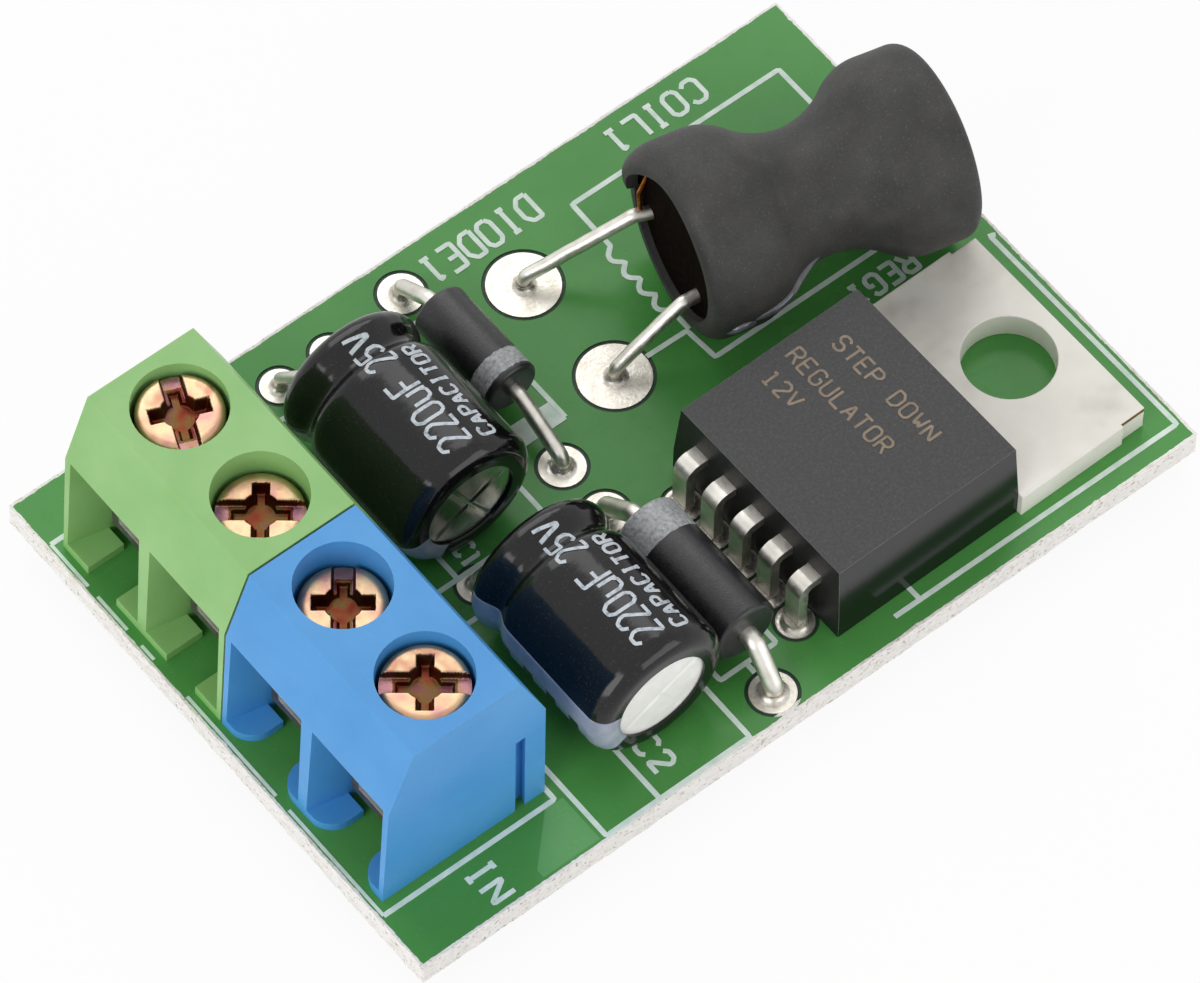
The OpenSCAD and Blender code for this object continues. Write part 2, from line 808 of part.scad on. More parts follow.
module choke_sleeve() {
    end = drum_l / 2 + seat_play + sleeve_t;
    mouth_r = sleeve_r - sleeve_round - sleeve_lip;
    color("#2b2b2d")
        on_choke()
            turned()
                difference() {
                    polygon(concat([[0, -end]], sleeve_skin(0), [[0, end]]));
                    polygon(concat([[0, sleeve_t - end]], sleeve_skin(sleeve_t), [[0, end - sleeve_t]]));
                    for (side = [0, 1])
                        mirror([0, side])
                            translate([0, end - sleeve_t - seat_play])
                                square([mouth_r, over]);
                }
}

// Half outline of a diode's body, along its axis
module diode_outline(r, l) {
    difference() {
        translate([0, -l / 2])
            square([r, l]);
        for (side = [0, 1])
            mirror([0, side])
                translate([r - diode_round, l / 2 - diode_round])
                    difference() {
                        square(diode_round + over);
                        circle(diode_round);
                    }
    }
}

module diode_body(y, z, r, l, lead_r) {
    translate([diode_x, y, board_top + z])
        rotate([-90, 0, 0])
            difference() {
                rotate_extrude()
                    diode_outline(r, l);
                for (side = [0, 1])
                    mirror([0, 0, side])
                        translate([0, 0, l / 2 - diode_embed - seat_play])
                            cylinder(r = lead_r + seat_play, h = l);
            }
}

// One diode lead from inside the body's end to below its foot
module diode_wire(y, z, l, lead_r, foot) {
    side = sign(foot - y);
    end = y + side * l / 2;
    reach = abs(foot - end);
    translate([diode_x, end, board_top])
        rotate(90 * side)
            upright()
                bent([[-diode_embed, z], [diode_run, z], [reach, turn_z], [reach, tip_z]], diode_bend)
                    circle(lead_r + $swell);
}

module output_diode() {
    color("#26262a")
        diode_body(diode_1_y, diode_1_z, diode_1_r, diode_1_l, diode_1_lead_r);
}

module output_diode_lead(i) {
    color("silver")
        diode_wire(diode_1_y, diode_1_z, diode_1_l, diode_1_lead_r, diode_1_feet[i]);
}

module input_diode() {
    color("#26262a")
        diode_body(diode_2_y, diode_2_z, diode_2_r, diode_2_l, diode_2_lead_r);
}

module input_diode_lead(i) {
    color("silver")
        diode_wire(diode_2_y, diode_2_z, diode_2_l, diode_2_lead_r, diode_2_feet[i]);
}

module on_capacitor(c) {
    translate([cap_x(c), cap_y(c), board_top + cap_z])
        rotate([-90, 0, 0])
            children();
}

// Half outline of a can, grown outwards by a skin's thickness. The closed end
// is at the bottom, and the crimp bead is near the lead end.
module can_outline(grow) {
    round_r = can_round + grow;
    difference() {
        translate([0, -can_l / 2 - grow])
            square([can_r + grow, can_l + 2 * grow]);
        for (side = [0, 1])
            mirror([0, side])
                translate([can_r - can_round, can_l / 2 - can_round])
                    difference() {
                        square(round_r + over);
                        circle(round_r);
                    }
        translate([can_r - bead_d + bead_r, can_l / 2 - bead_set])
            circle(bead_r - grow);
    }
}

module capacitor_can(c) {
    color("lightgray")
        on_capacitor(c)
            difference() {
                rotate_extrude()
                    can_outline(0);
                translate([0, 0, can_l / 2 - bung_t - seat_play])
                    cylinder(r = bung_r + seat_play, h = can_l);
            }
}

module capacitor_sleeve(c) {
    color("#1d1d20")
        on_capacitor(c)
            rotate_extrude()
                difference() {
                    can_outline(seat_play + skin_t);
                    can_outline(seat_play);
                    translate([0, -can_l])
                        square([bare_r, can_l]);
                    square([bung_r, can_l]);
                }
}

module capacitor_bung(c) {
    color("black")
        on_capacitor(c)
            difference() {
                translate([0, 0, can_l / 2 - bung_t])
                    cylinder(r = bung_r, h = bung_t);
                for (side = [-1, 1])
                    translate([side * cap_pitch / 2, 0, can_l / 2 - bung_t - over])
                        cylinder(r = cap_lead_r + seat_play, h = bung_t + 2 * over);
            }
}

module capacitor_lead(c, side) {
    end = cap_y(c) + can_l / 2;
    reach = cap_feet[c] - end;
    color("silver")
        translate([cap_x(c) + side * cap_pitch / 2, end, board_top])
            rotate(90)
                upright()
                    bent([[-bung_t, cap_z], [cap_run, cap_z], [reach, turn_z], [reach, tip_z]], cap_bend)
                        circle(cap_lead_r + $swell);
}

// Half outline of a solder joint: a drawn-up ring on top, the filling of the
// hole, and a cone round the lead's stub. Height 0 is the board's top.
module solder_outline(lead_r, hole_r, pad_r, rise) {
    translate([0, -board_t])
        square([hole_r - seat_play, board_t]);
    if (rise > 0)
        difference() {
            square([lead_r + rise, rise]);
            translate([lead_r + rise, rise])
                circle(rise);
        }
    polygon([
        [0, -board_t],
        [pad_r, -board_t],
        [lead_r + drop_rim, -board_t - stub_l * drop_share],
        [0, -board_t - stub_l * drop_share]
    ]);
}

module solder_joint(hole, lead_r, rise) {
    translate([hole[0], hole[1], board_top])
        difference() {
            rotate_extrude()
                solder_outline(lead_r, hole[2], hole[3], rise);
            children();
        }
}

// The room of a round lead, and of a flat one, in its solder
module round_lead(lead_r) {
    translate([0, 0, tip_z - over])
        cylinder(r = lead_r + seat_play, h = board_top + 2 * over);
}

module flat_lead(t, w) {
    translate([-t / 2 - seat_play, -w / 2 - seat_play, tip_z - over])
        cube([t + 2 * seat_play, w + 2 * seat_play, board_top + 2 * over]);
}

module terminal_solder() {
    color("gainsboro")
        for (h = terminal_holes)
            solder_joint(h, half_diagonal(tail_pin_w, contact_t), 0)
                flat_lead(contact_t, tail_pin_w);
}

module choke_solder() {
    color("gainsboro")
        for (h = choke_holes)
            solder_joint(h, choke_lead_r, rise_h)
                round_lead(choke_lead_r);
}

module diode_solder() {
    color("gainsboro") {
        for (h = diode_1_holes)
            solder_joint(h, diode_1_lead_r, rise_h)
                round_lead(diode_1_lead_r);
        for (h = diode_2_holes)
            solder_joint(h, diode_2_lead_r, rise_h)
                round_lead(diode_2_lead_r);
    }
}

module capacitor_solder() {
    color("gainsboro")
        for (h = cap_holes)
            solder_joint(h, cap_lead_r, rise_h)
                round_lead(cap_lead_r);
}

module regulator_solder() {
    color("gainsboro")
        for (h = reg_holes)
            solder_joint(h, half_diagonal(reg_lead_w, reg_lead_t), rise_h)
                rotate(reg_turn)
                    flat_lead(reg_lead_t, reg_lead_w);
}

circuit_board();
plated_holes();
output_housing();
input_housing();
for (i = [0 : 3]) {
    clamp_screw(i);
    clamp_cage(i);
    contact_strip(i);
}
regulator_body();
regulator_tab();
for (i = [0 : 4])
    regulator_lead(i);
choke_drum();
choke_winding();
choke_sleeve();
choke_lead(0);  // choke_lead_1
choke_lead(1);  // choke_lead_2
output_diode();
output_diode_lead(0);  // output_diode_anode_lead
output_diode_lead(1);  // output_diode_cathode_lead
input_diode();
input_diode_lead(0);  // input_diode_cathode_lead
input_diode_lead(1);  // input_diode_anode_lead
capacitor_can(0);  // output_capacitor_can
capacitor_sleeve(0);  // output_capacitor_sleeve
capacitor_bung(0);  // output_capacitor_bung
capacitor_lead(0, -1);  // output_capacitor_lead_1
capacitor_lead(0, 1);  // output_capacitor_lead_2
capacitor_can(1);  // input_capacitor_can
capacitor_sleeve(1);  // input_capacitor_sleeve
capacitor_bung(1);  // input_capacitor_bung
capacitor_lead(1, -1);  // input_capacitor_lead_1
capacitor_lead(1, 1);  // input_capacitor_lead_2
terminal_solder();
choke_solder();
diode_solder();
capacitor_solder();
regulator_solder();
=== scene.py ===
# %% [markdown]
# # A step-down converter module
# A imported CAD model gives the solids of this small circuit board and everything
# soldered to it. This lesson dresses them: it sets the camera of a product
# photograph, gives each material its own nodes, and adds what a CAD model leaves
# out, such as printed legends, cut board edges, threads and shrunk film.
# Every object stays in the frame of the CAD model, in metres, and a finished
# piece keeps its place in its mesh, so that its object sits at the origin.

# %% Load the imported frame
import math

import bmesh
import bpy
import numpy as np
from mathutils import Matrix, Vector, noise


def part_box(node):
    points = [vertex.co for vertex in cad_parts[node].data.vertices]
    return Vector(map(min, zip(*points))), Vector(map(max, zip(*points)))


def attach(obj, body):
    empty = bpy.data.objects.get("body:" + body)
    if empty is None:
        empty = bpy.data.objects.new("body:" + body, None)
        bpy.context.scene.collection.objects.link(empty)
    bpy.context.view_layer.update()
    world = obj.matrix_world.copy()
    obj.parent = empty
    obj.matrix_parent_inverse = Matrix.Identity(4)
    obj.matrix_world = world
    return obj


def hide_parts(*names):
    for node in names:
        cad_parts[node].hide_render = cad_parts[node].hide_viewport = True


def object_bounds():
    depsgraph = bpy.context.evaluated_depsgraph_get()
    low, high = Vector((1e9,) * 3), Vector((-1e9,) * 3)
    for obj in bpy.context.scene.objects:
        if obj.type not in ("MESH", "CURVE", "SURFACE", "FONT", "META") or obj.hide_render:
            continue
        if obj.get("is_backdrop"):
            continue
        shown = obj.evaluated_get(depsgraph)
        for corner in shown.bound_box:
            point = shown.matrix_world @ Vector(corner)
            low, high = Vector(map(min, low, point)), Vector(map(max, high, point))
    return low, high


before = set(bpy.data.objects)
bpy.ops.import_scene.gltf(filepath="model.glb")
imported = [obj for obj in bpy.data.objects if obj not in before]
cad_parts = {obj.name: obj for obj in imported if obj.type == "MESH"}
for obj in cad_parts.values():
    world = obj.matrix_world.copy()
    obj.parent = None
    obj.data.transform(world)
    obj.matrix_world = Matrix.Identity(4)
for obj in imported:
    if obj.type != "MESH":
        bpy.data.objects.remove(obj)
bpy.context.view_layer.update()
MM = 0.001
BOARD_TOP = 2.4
BOARD_BOTTOM = 1.2

# %% [markdown]
# The photograph was taken with a long lens from above a corner of the board. A
# camera that was fitted to the board's corners and the terminal blocks gives the
# place and the two directions below. The third direction follows from them, and
# a matrix of the three turns the camera in one step.

# %% Camera
CAMERA_AT = Vector((-127.23, -152.78, 321.81))
CAMERA_RIGHT = Vector((0.7813, -0.6239, 0.0122))
CAMERA_UP = Vector((0.5255, 0.6684, 0.5264))
LENS_MM = 289.7
SENSOR_MM = 36.0


def placed(name, data):
    """A new object in the scene."""
    made = bpy.data.objects.new(name, data)
    bpy.context.scene.collection.objects.link(made)
    return made


right = CAMERA_RIGHT.normalized()
back = right.cross(CAMERA_UP).normalized()
up = back.cross(right)
camera = placed("camera", bpy.data.cameras.new("camera"))
camera.matrix_world = Matrix.Translation(CAMERA_AT * MM) @ Matrix((right, up, back)).transposed().to_4x4()
camera.data.lens = LENS_MM
camera.data.sensor_width = SENSOR_MM
camera.data.clip_start = 0.01
camera.data.clip_end = 20.0
bpy.context.scene.camera = camera
print("camera looks along", [round(value, 3) for value in -back])

# %% [markdown]
# Materials here are built from a few small helpers. A node is added with its
# settings and inputs in one call, and an input may be a plain value or a socket
# to link. A noise on Object coordinates is given by the size of its grain in
# millimetres, and ramps turn that noise into colour, roughness or relief. Numbers
# that are the same all over a surface are set on the shader's own sockets,
# because an export keeps them there.

# %% Material helpers
EVEN = (1.0, 1.0, 1.0)
LOW_STOP, HIGH_STOP = 0.3, 0.7


def linear(code):
    """A colour written as in a paint program, as the linear value nodes take."""
    values = [int(code[i:i + 2], 16) / 255 for i in (1, 3, 5)]
    return [v / 12.92 if v <= 0.04045 else ((v + 0.055) / 1.055) ** 2.4 for v in values] + [1.0]


def add(tree, kind, inputs=None, **settings):
    """A node with its settings. An input gets a plain value, or a link from a socket."""
    made = tree.nodes.new(kind)
    for key, value in settings.items():
        setattr(made, key, value)
    for key, value in (inputs or {}).items():
        if isinstance(value, bpy.types.NodeSocket):
            tree.links.new(value, made.inputs[key])
        else:
            made.inputs[key].default_value = value
    return made


def maths(tree, operation, *values):
    return add(tree, "ShaderNodeMath", dict(enumerate(values)), operation=operation).outputs["Value"]


def mixed(tree, share, first, second, **settings):
    inputs = {"Factor": share, "A": first, "B": second}
    return add(tree, "ShaderNodeMix", inputs, data_type="RGBA", **settings).outputs["Result"]


def new_finish(name, **sockets):
    """A material and its shader, with constant values on the shader's sockets."""
    finish = bpy.data.materials.new(name)
    finish.use_nodes = True
    shader = finish.node_tree.nodes["Principled BSDF"]
    for key, value in sockets.items():
        shader.inputs[key.replace("_", " ")].default_value = value
    return finish, finish.node_tree, shader


def grain(tree, size_mm, detail=3.0, stretch=EVEN):
    """Noise on Object coordinates with features of about this size."""
    place = add(tree, "ShaderNodeTexCoord").outputs["Object"]
    sized = add(tree, "ShaderNodeMapping", {"Vector": place, "Scale": stretch}).outputs["Vector"]
    inputs = {"Vector": sized, "Scale": 1 / (size_mm * MM), "Detail": detail}
    return add(tree, "ShaderNodeTexNoise", inputs).outputs["Fac"]


def tinted(tree, value, stops):
    """A ramp of colours over a value. Two colours in a string stand at the usual stops."""
    if isinstance(stops, str):
        stops = zip((LOW_STOP, HIGH_STOP), stops.split())
    ramp = add(tree, "ShaderNodeValToRGB", {"Fac": value})
    for i, (place, code) in enumerate(stops):
        stop = ramp.color_ramp.elements[i] if i < 2 else ramp.color_ramp.elements.new(place)
        stop.position = place
        stop.color = linear(code)
    return ramp.outputs["Color"]


def relief(tree, shader, value, height_mm):
    bump = add(tree, "ShaderNodeBump", {"Height": value, "Strength": 1.0, "Distance": height_mm * MM})
    tree.links.new(bump.outputs["Normal"], shader.inputs["Normal"])


def textured(tree, shader, rough, grain_mm, bump_mm, detail=4.0, stretch=EVEN):
    """A fine grain that swings the roughness between two values and stands out as a relief."""
    fine = grain(tree, grain_mm, detail, stretch)
    limits = {"From Min": LOW_STOP, "From Max": HIGH_STOP, "To Min": rough[0], "To Max": rough[1]}
    swing = add(tree, "ShaderNodeMapRange", {"Value": fine, **limits})
    tree.links.new(swing.outputs["Result"], shader.inputs["Roughness"])
    relief(tree, shader, fine, bump_mm)


def surface(name, stops, rough, patch_mm, grain_mm, bump_mm, stretch=EVEN, details=(3.0, 4.0), **sockets):
    """Patches of colour, a swing of roughness and a fine relief: the base of most finishes here."""
    finish, tree, shader = new_finish(name, **sockets)
    patches = grain(tree, patch_mm, details[0], stretch)
    tree.links.new(tinted(tree, patches, stops), shader.inputs["Base Color"])
    textured(tree, shader, rough, grain_mm, bump_mm, details[1], stretch)
    return finish


def dusted(finish, code, size_mm, share):
    """Lays pale specks over a finish: a finer noise picks them, and a ramp keeps only its peaks."""
    tree = finish.node_tree
    target = tree.nodes["Principled BSDF"].inputs["Base Color"]
    peaks = tinted(tree, grain(tree, size_mm, 2.0), [(0.62, "#000000"), (0.72, "#ffffff")])
    weight = maths(tree, "MULTIPLY", peaks, share)
    tree.links.new(mixed(tree, weight, target.links[0].from_socket, linear(code)), target)
    return finish


print("material helpers ready")

# %% [markdown]
# The board is glass cloth in resin under a glossy green lacquer. Where copper
# lies under the lacquer it looks a little lighter. The cut edges show pale, dusty
# resin with darker fibres, and the narrow ring round each pad, where the lacquer
# stops, shows the dark board itself.

# %% Board finishes
mask_green = surface("mask_green", "#478c42 #52984c", (0.2, 0.3), 9.0, 0.7, 0.003, IOR=1.3)
mask_over_copper = surface("mask_over_copper", "#5c9f5a #67a965", (0.2, 0.3), 7.0, 0.7, 0.003, IOR=1.3)
bare_laminate = surface(
    "bare_laminate", [(0.35, "#0f2a19"), (0.65, "#1c3a26")], (0.5, 0.7), 0.4, 0.1, 0.01, IOR=1.5)


def cut_edge_finish():
    """Sawn glass cloth: layers of fibre along the edge, with dark pits."""
    finish, tree, shader = new_finish("cut_laminate", IOR=1.48, Roughness=0.85)
    layers = grain(tree, 0.5, 5.0, (1.0, 1.0, 5.0))
    pale = tinted(tree, layers, [(0.25, "#d8d0c6"), (0.42, "#f2ede7"), (0.6, "#fcfaf8"), (0.8, "#e8e2da")])
    pits = tinted(tree, grain(tree, 0.16, 2.0), [(0.3, "#b0a497"), (0.4, "#ffffff")])
    tree.links.new(mixed(tree, 0.7, pale, pits, blend_type="MULTIPLY"), shader.inputs["Base Color"])
    relief(tree, shader, grain(tree, 0.12, 3.0, (1.0, 1.0, 2.5)), 0.05)
    return finish


cut_laminate = cut_edge_finish()
legend_ink = surface("legend_ink", "#cbe0d2 #e8f3ec", (0.5, 0.65), 0.6, 0.12, 0.006, IOR=1.45)
print("board finishes:", [finish.name for finish in bpy.data.materials])

# %% [markdown]
# Tinned copper and solder are both bright metals, but a pad is dulled flat by the
# levelling air while a joint is smooth and dark where it mirrors its neighbours.
# Two finishes with their own roughness keep them apart. The screws are zinc under
# a yellow film that drifts to pink and green.

# %% Metals
tinned_pad = surface("tinned_pad", "#cdc7bb #e6e2d8", (0.34, 0.52), 0.5, 0.12, 0.01, Metallic=0.85, IOR=1.5)
tinned_lead = surface("tinned_lead", "#c6c2b9 #e6e3db", (0.32, 0.46), 0.8, 0.25, 0.005, Metallic=1.0)
solder_metal = surface(
    "solder_metal", "#b4aea3 #e0dcd3", (0.24, 0.42), 0.35, 0.16, 0.01, Metallic=0.75, IOR=1.5)
clamp_metal = surface(
    "clamp_metal", "#dad8d3 #f4f3ef", (0.28, 0.42), 0.8, 0.2, 0.003, (1.0, 1.0, 0.3), Metallic=0.7, IOR=1.5)
# Dark steel for the cage's front face: painted shade inside the wire entry.
painted_shade_steel = surface("painted_shade_steel", "#5a5854 #7c7a74", (0.38, 0.52), 0.5, 0.1, 0.006, Metallic=0.8)
contact_metal = surface("contact_metal", "#b9b39f #ddd8c8", (0.2, 0.36), 0.8, 0.1, 0.006, Metallic=1.0)
tab_metal = surface(
    "tab_metal", [(0.25, "#cdc9bf"), (0.45, "#e2dfd6"), (0.75, "#ece9e1")], (0.5, 0.62), 2.4, 0.08, 0.006,
    Metallic=0.15, IOR=1.5)
sheared_copper = surface("sheared_copper", "#6a3a2a #b08468", (0.35, 0.5), 0.3, 0.06, 0.01, Metallic=0.9)
can_metal = surface(
    "can_metal", "#a9aaa5 #c9c9c4", (0.16, 0.26), 1.2, 0.06, 0.003, (1.0, 1.0, 0.2), Metallic=1.0)
can_matt = surface("can_matt", "#edebe6 #faf9f6", (0.45, 0.6), 0.8, 0.08, 0.005, Metallic=0.1, IOR=1.5)


def zinc(name, *stops):
    return surface(name, stops, (0.3, 0.44), 0.9, 0.07, 0.006, details=(1.5, 3.0), Metallic=1.0)


yellow_zinc = zinc("yellow_zinc", (0.28, "#b98682"), (0.42, "#cba283"), (0.56, "#cdb18d"), (0.72, "#ad8169"))
# The slot and cross metals are darker than the head: their own film tone, with painted shade of the recess.
slot_zinc_and_shade = zinc("slot_zinc_and_shade", (0.3, "#7b5664"), (0.45, "#a17376"), (0.58, "#94705c"), (0.72, "#6d5069"))
recess_zinc_and_shade = zinc("recess_zinc_and_shade", (0.3, "#4d2019"), (0.45, "#6b3524"), (0.58, "#5e4a2a"), (0.72, "#6a3d44"))
print("metals ready")

# %% [markdown]
# The two terminal blocks are moulded in coloured nylon, which scatters light
# inside, so their thin walls look a little lighter. The regulator is moulded in a
# filled epoxy: matt on top and in front, glossy on its long sides. Its top is
# painted a lighter grey as painted light, its sides and front darker as painted
# shade, and its edges paler as a painted highlight. The choke wears a matt shrunk
# tube, the capacitors a thin glossy film, and the diodes a plain black epoxy.

# %% Plastics and ceramics
NYLON = {"IOR": 1.48, "Subsurface_Weight": 0.12, "Subsurface_Scale": 0.0006}
BAND_WANDER = 0.00012
output_plastic = surface("output_plastic", "#84b86c #92c27b", (0.34, 0.46), 3.0, 0.12, 0.006, **NYLON)
input_plastic = surface("input_plastic", "#4594d6 #4f9ddc", (0.34, 0.46), 3.0, 0.12, 0.006, **NYLON)
# The top's lighter grey is painted light on the black epoxy.
moulded_epoxy = surface(
    "moulded_epoxy", [(0.3, "#2c2c2d"), (0.55, "#363637"), (0.75, "#454546")], (0.5, 0.68), 0.12, 0.05, 0.012,
    IOR=1.5)
# The long sides and the front are the same epoxy painted darker: painted shade.
shaded_side_epoxy = surface("shaded_side_epoxy", "#0c0c0d #131314", (0.12, 0.2), 0.2, 0.06, 0.002, IOR=1.36)
shaded_front_epoxy = surface("shaded_front_epoxy", "#131314 #1c1c1d", (0.42, 0.58), 0.2, 0.06, 0.008, IOR=1.4)
# Paler epoxy for the bevels: a painted highlight along the edges.
edge_highlight_epoxy = surface("edge_highlight_epoxy", "#50504e #7c7c79", (0.35, 0.5), 0.3, 0.06, 0.006, IOR=1.5)
laser_mark = surface("laser_mark", "#7b6c5c #958674", (0.6, 0.75), 0.2, 0.06, 0.006, IOR=1.5)
shrunk_sleeve = dusted(surface(
    "shrunk_sleeve", [(0.3, "#292827"), (0.55, "#333231"), (0.75, "#3d3c3a")], (0.55, 0.72), 1.4, 0.09, 0.015,
    IOR=1.48), "#7c7a76", 0.1, 0.22)
# The folds' lighter grey, against the darker tube, is a painted highlight.
sleeve_fold_highlight = surface("sleeve_fold_highlight", "#47494d #66696e", (0.1, 0.2), 0.6, 0.3, 0.006, IOR=1.6)
ferrite = surface("ferrite", "#0a0605 #160f0c", (0.75, 0.9), 0.3, 0.1, 0.01, Specular_IOR_Level=0.02)
enamelled_copper = surface("enamelled_copper", "#8a4a1c #c07a36", (0.2, 0.3), 0.4, 0.1, 0.004, Metallic=0.9)
film_black = dusted(
    surface("film_black", "#0b0b0c #141415", (0.1, 0.17), 2.5, 0.8, 0.012, IOR=1.42), "#6a6c70", 0.1, 0.15)
film_grey = surface("film_grey", "#8b92a4 #aab0be", (0.14, 0.22), 1.2, 0.8, 0.012, IOR=1.42)
film_print = surface(
    "film_print", [(0.28, "#8f98a4"), (0.5, "#cbd2d9")], (0.3, 0.45), 0.25, 0.1, 0.004, IOR=1.45)
bung_rubber = surface("bung_rubber", "#161616 #232323", (0.55, 0.7), 0.4, 0.1, 0.01, IOR=1.5)


def banded_epoxy(name, low, high):
    """Black epoxy with a silver band between two places along Y, in millimetres."""
    finish, tree, shader = new_finish(name, IOR=1.52)
    place = add(tree, "ShaderNodeTexCoord").outputs["Object"]
    parts = add(tree, "ShaderNodeSeparateXYZ", {"Vector": place})
    wander = maths(tree, "MULTIPLY", grain(tree, 0.22, 2.0), BAND_WANDER)
    along = maths(tree, "ADD", parts.outputs["Y"], wander)
    inside = maths(tree, "COMPARE", along, (low + high) / 2 * MM, (high - low) / 2 * MM)
    black = tinted(tree, grain(tree, 0.3), "#151517 #242427")
    silver = tinted(tree, grain(tree, 0.16, 4.0), [(0.25, "#6f7274"), (0.5, "#a3a6a8"), (0.75, "#bfc1c2")])
    tree.links.new(mixed(tree, inside, black, silver), shader.inputs["Base Color"])
    textured(tree, shader, (0.3, 0.45), 0.08, 0.01)
    return finish


output_diode_epoxy = banded_epoxy("output_diode_epoxy", 4.6, 5.5)
input_diode_epoxy = banded_epoxy("input_diode_epoxy", -5.45, -3.7)
print("plastics and ceramics ready")

# %% [markdown]
# The stage is a wide pale floor under the tips of the soldered leads, a white
# world for what the camera and mirrors see, and three soft boxes. The first stands
# behind the board, so that the lacquer shines at its far side and fades towards
# the near one, as in the photograph. The others light the blocks' slopes and wire
# entries from the left, and the blocks' ends from the front.

# %% Floor, world and lights
FLOOR_HALF, FLOOR_Z, FLOOR_WHITE = 1.5, -0.00002, 0.92
SKY_LIGHT = 0.42
WHITE = (1.0, 1.0, 1.0, 1.0)


def white_to_the_eye(tree, seen, lit, share):
    """Mixes towards a shader of plain white for the rays that show the background."""
    path = add(tree, "ShaderNodeLightPath").outputs
    either = maths(tree, "MAXIMUM", path["Is Camera Ray"], path["Is Glossy Ray"])
    shown = maths(tree, "MAXIMUM", either, path["Is Transmission Ray"])
    inputs = {"Fac": maths(tree, "MULTIPLY", shown, share), 1: lit, 2: seen}
    return add(tree, "ShaderNodeMixShader", inputs).outputs["Shader"]


floor_mesh = bpy.data.meshes.new("floor")
corners = [(x * FLOOR_HALF, y * FLOOR_HALF, FLOOR_Z) for x, y in ((-1, -1), (1, -1), (1, 1), (-1, 1))]
floor_mesh.from_pydata(corners, [], [(0, 1, 2, 3)])
floor = placed("floor", floor_mesh)
floor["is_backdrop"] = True
floor_paint, floor_tree, floor_shader = new_finish(
    "floor_paint", Roughness=0.9, Base_Color=(0.9, 0.9, 0.9, 1.0))
floor_glow = add(floor_tree, "ShaderNodeEmission", {"Color": WHITE, "Strength": 1.0})
floor_tree.links.new(
    white_to_the_eye(floor_tree, floor_glow.outputs["Emission"], floor_shader.outputs["BSDF"], FLOOR_WHITE),
    floor_tree.nodes["Material Output"].inputs["Surface"])
floor_mesh.materials.append(floor_paint)

world = bpy.data.worlds.new("studio")
world.use_nodes = True
bpy.context.scene.world = world
sky = world.node_tree.nodes["Background"]
sky.inputs["Color"].default_value = WHITE
sky.inputs["Strength"].default_value = SKY_LIGHT
seen_sky = add(world.node_tree, "ShaderNodeBackground", {"Color": WHITE, "Strength": 1.0})
world.node_tree.links.new(
    white_to_the_eye(world.node_tree, seen_sky.outputs["Background"], sky.outputs["Background"], 1.0),
    world.node_tree.nodes["World Output"].inputs["Surface"])


def soft_box(name, at, size, power):
    lamp = bpy.data.lights.new(name, "AREA")
    lamp.shape = "RECTANGLE"
    lamp.size, lamp.size_y = size
    lamp.energy = power
    box = placed(name, lamp)
    box.location = at
    box.rotation_euler = (-Vector(at)).to_track_quat("-Z", "Y").to_euler()


soft_box("far_box", (0.16, 0.40, 0.42), (0.55, 0.42), 1.5)
soft_box("left_box", (-0.52, -0.10, 0.28), (0.45, 0.40), 1.8)
soft_box("front_box", (0.20, -0.50, 0.20), (0.45, 0.35), 0.9)
bpy.context.scene.view_settings.view_transform = "Standard"
print("stage ready")

# %% [markdown]
# Two ways of making pieces come next. A piece that only needs softer edges starts
# as a copy of its CAD mesh: the loose triangles are merged, flat fans are
# dissolved, and a Bevel modifier rounds the corners with hardened normals. A
# turned piece, such as a film or a can, is spun from its outline, so that it can
# carry ripples and dents that a CAD solid doesn't have.

# %% Piece helpers
MERGE = 1e-7
FLAT_DEGREES = 0.6
BEVEL_FROM = math.radians(32)
CRISP_FROM = 35
FULL_TURN = (0.0, 2 * math.pi)


def piece(name, mesh, slot, *stands_for, body="module"):
    """Puts a mesh in the scene, on its body, in place of the CAD nodes it stands for, which it hides; slot is
    not used.
    """
    mesh.name = name
    made = placed(name, mesh)
    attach(made, body)
    if stands_for:
        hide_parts(*stands_for)
    return made


def merged_copy(node_name, flatten=True):
    shape = bmesh.new()
    shape.from_mesh(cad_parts[node_name].data)
    bmesh.ops.remove_doubles(shape, verts=shape.verts, dist=MERGE)
    if flatten:
        bmesh.ops.dissolve_limit(
            shape, angle_limit=math.radians(FLAT_DEGREES), verts=shape.verts, edges=shape.edges)
    return shape


def plain_mesh(shape, *finishes, smooth=False, sharp=None):
    """A mesh from a shape. Normals that came along from the CAD node no longer fit it, so they go."""
    mesh = bpy.data.meshes.new("piece")
    shape.to_mesh(mesh)
    shape.free()
    stale = mesh.attributes.get("custom_normal")
    if stale:
        mesh.attributes.remove(stale)
    for finish in finishes:
        mesh.materials.append(finish)
    if smooth:
        mesh.shade_smooth()
    if sharp:
        mesh.set_sharp_from_angle(angle=math.radians(sharp))
    return mesh


def baked(carrier):
    """The mesh of an object with its modifiers applied; the carrier goes."""
    graph = bpy.context.evaluated_depsgraph_get()
    mesh = bpy.data.meshes.new_from_object(carrier.evaluated_get(graph), depsgraph=graph)
    bpy.data.objects.remove(carrier)
    return mesh


def softened(shape, width, *finishes, steps=2, edge=-1):
    """A bevelled, smooth mesh with its flats kept flat. edge picks the bevels' finish."""
    carrier = placed("blank", plain_mesh(shape, *finishes, smooth=True))
    bevel = carrier.modifiers.new("soft_edges", "BEVEL")
    bevel.width = width * MM
    bevel.segments = steps
    bevel.limit_method = "ANGLE"
    bevel.angle_limit = BEVEL_FROM
    bevel.harden_normals = True
    bevel.use_clamp_overlap = True
    bevel.material = edge
    return baked(carrier)


def smooth_copy(node_name, finish):
    """A merged copy with smooth shading and crisp corners."""
    return plain_mesh(merged_copy(node_name, flatten=False), finish, smooth=True, sharp=CRISP_FROM)


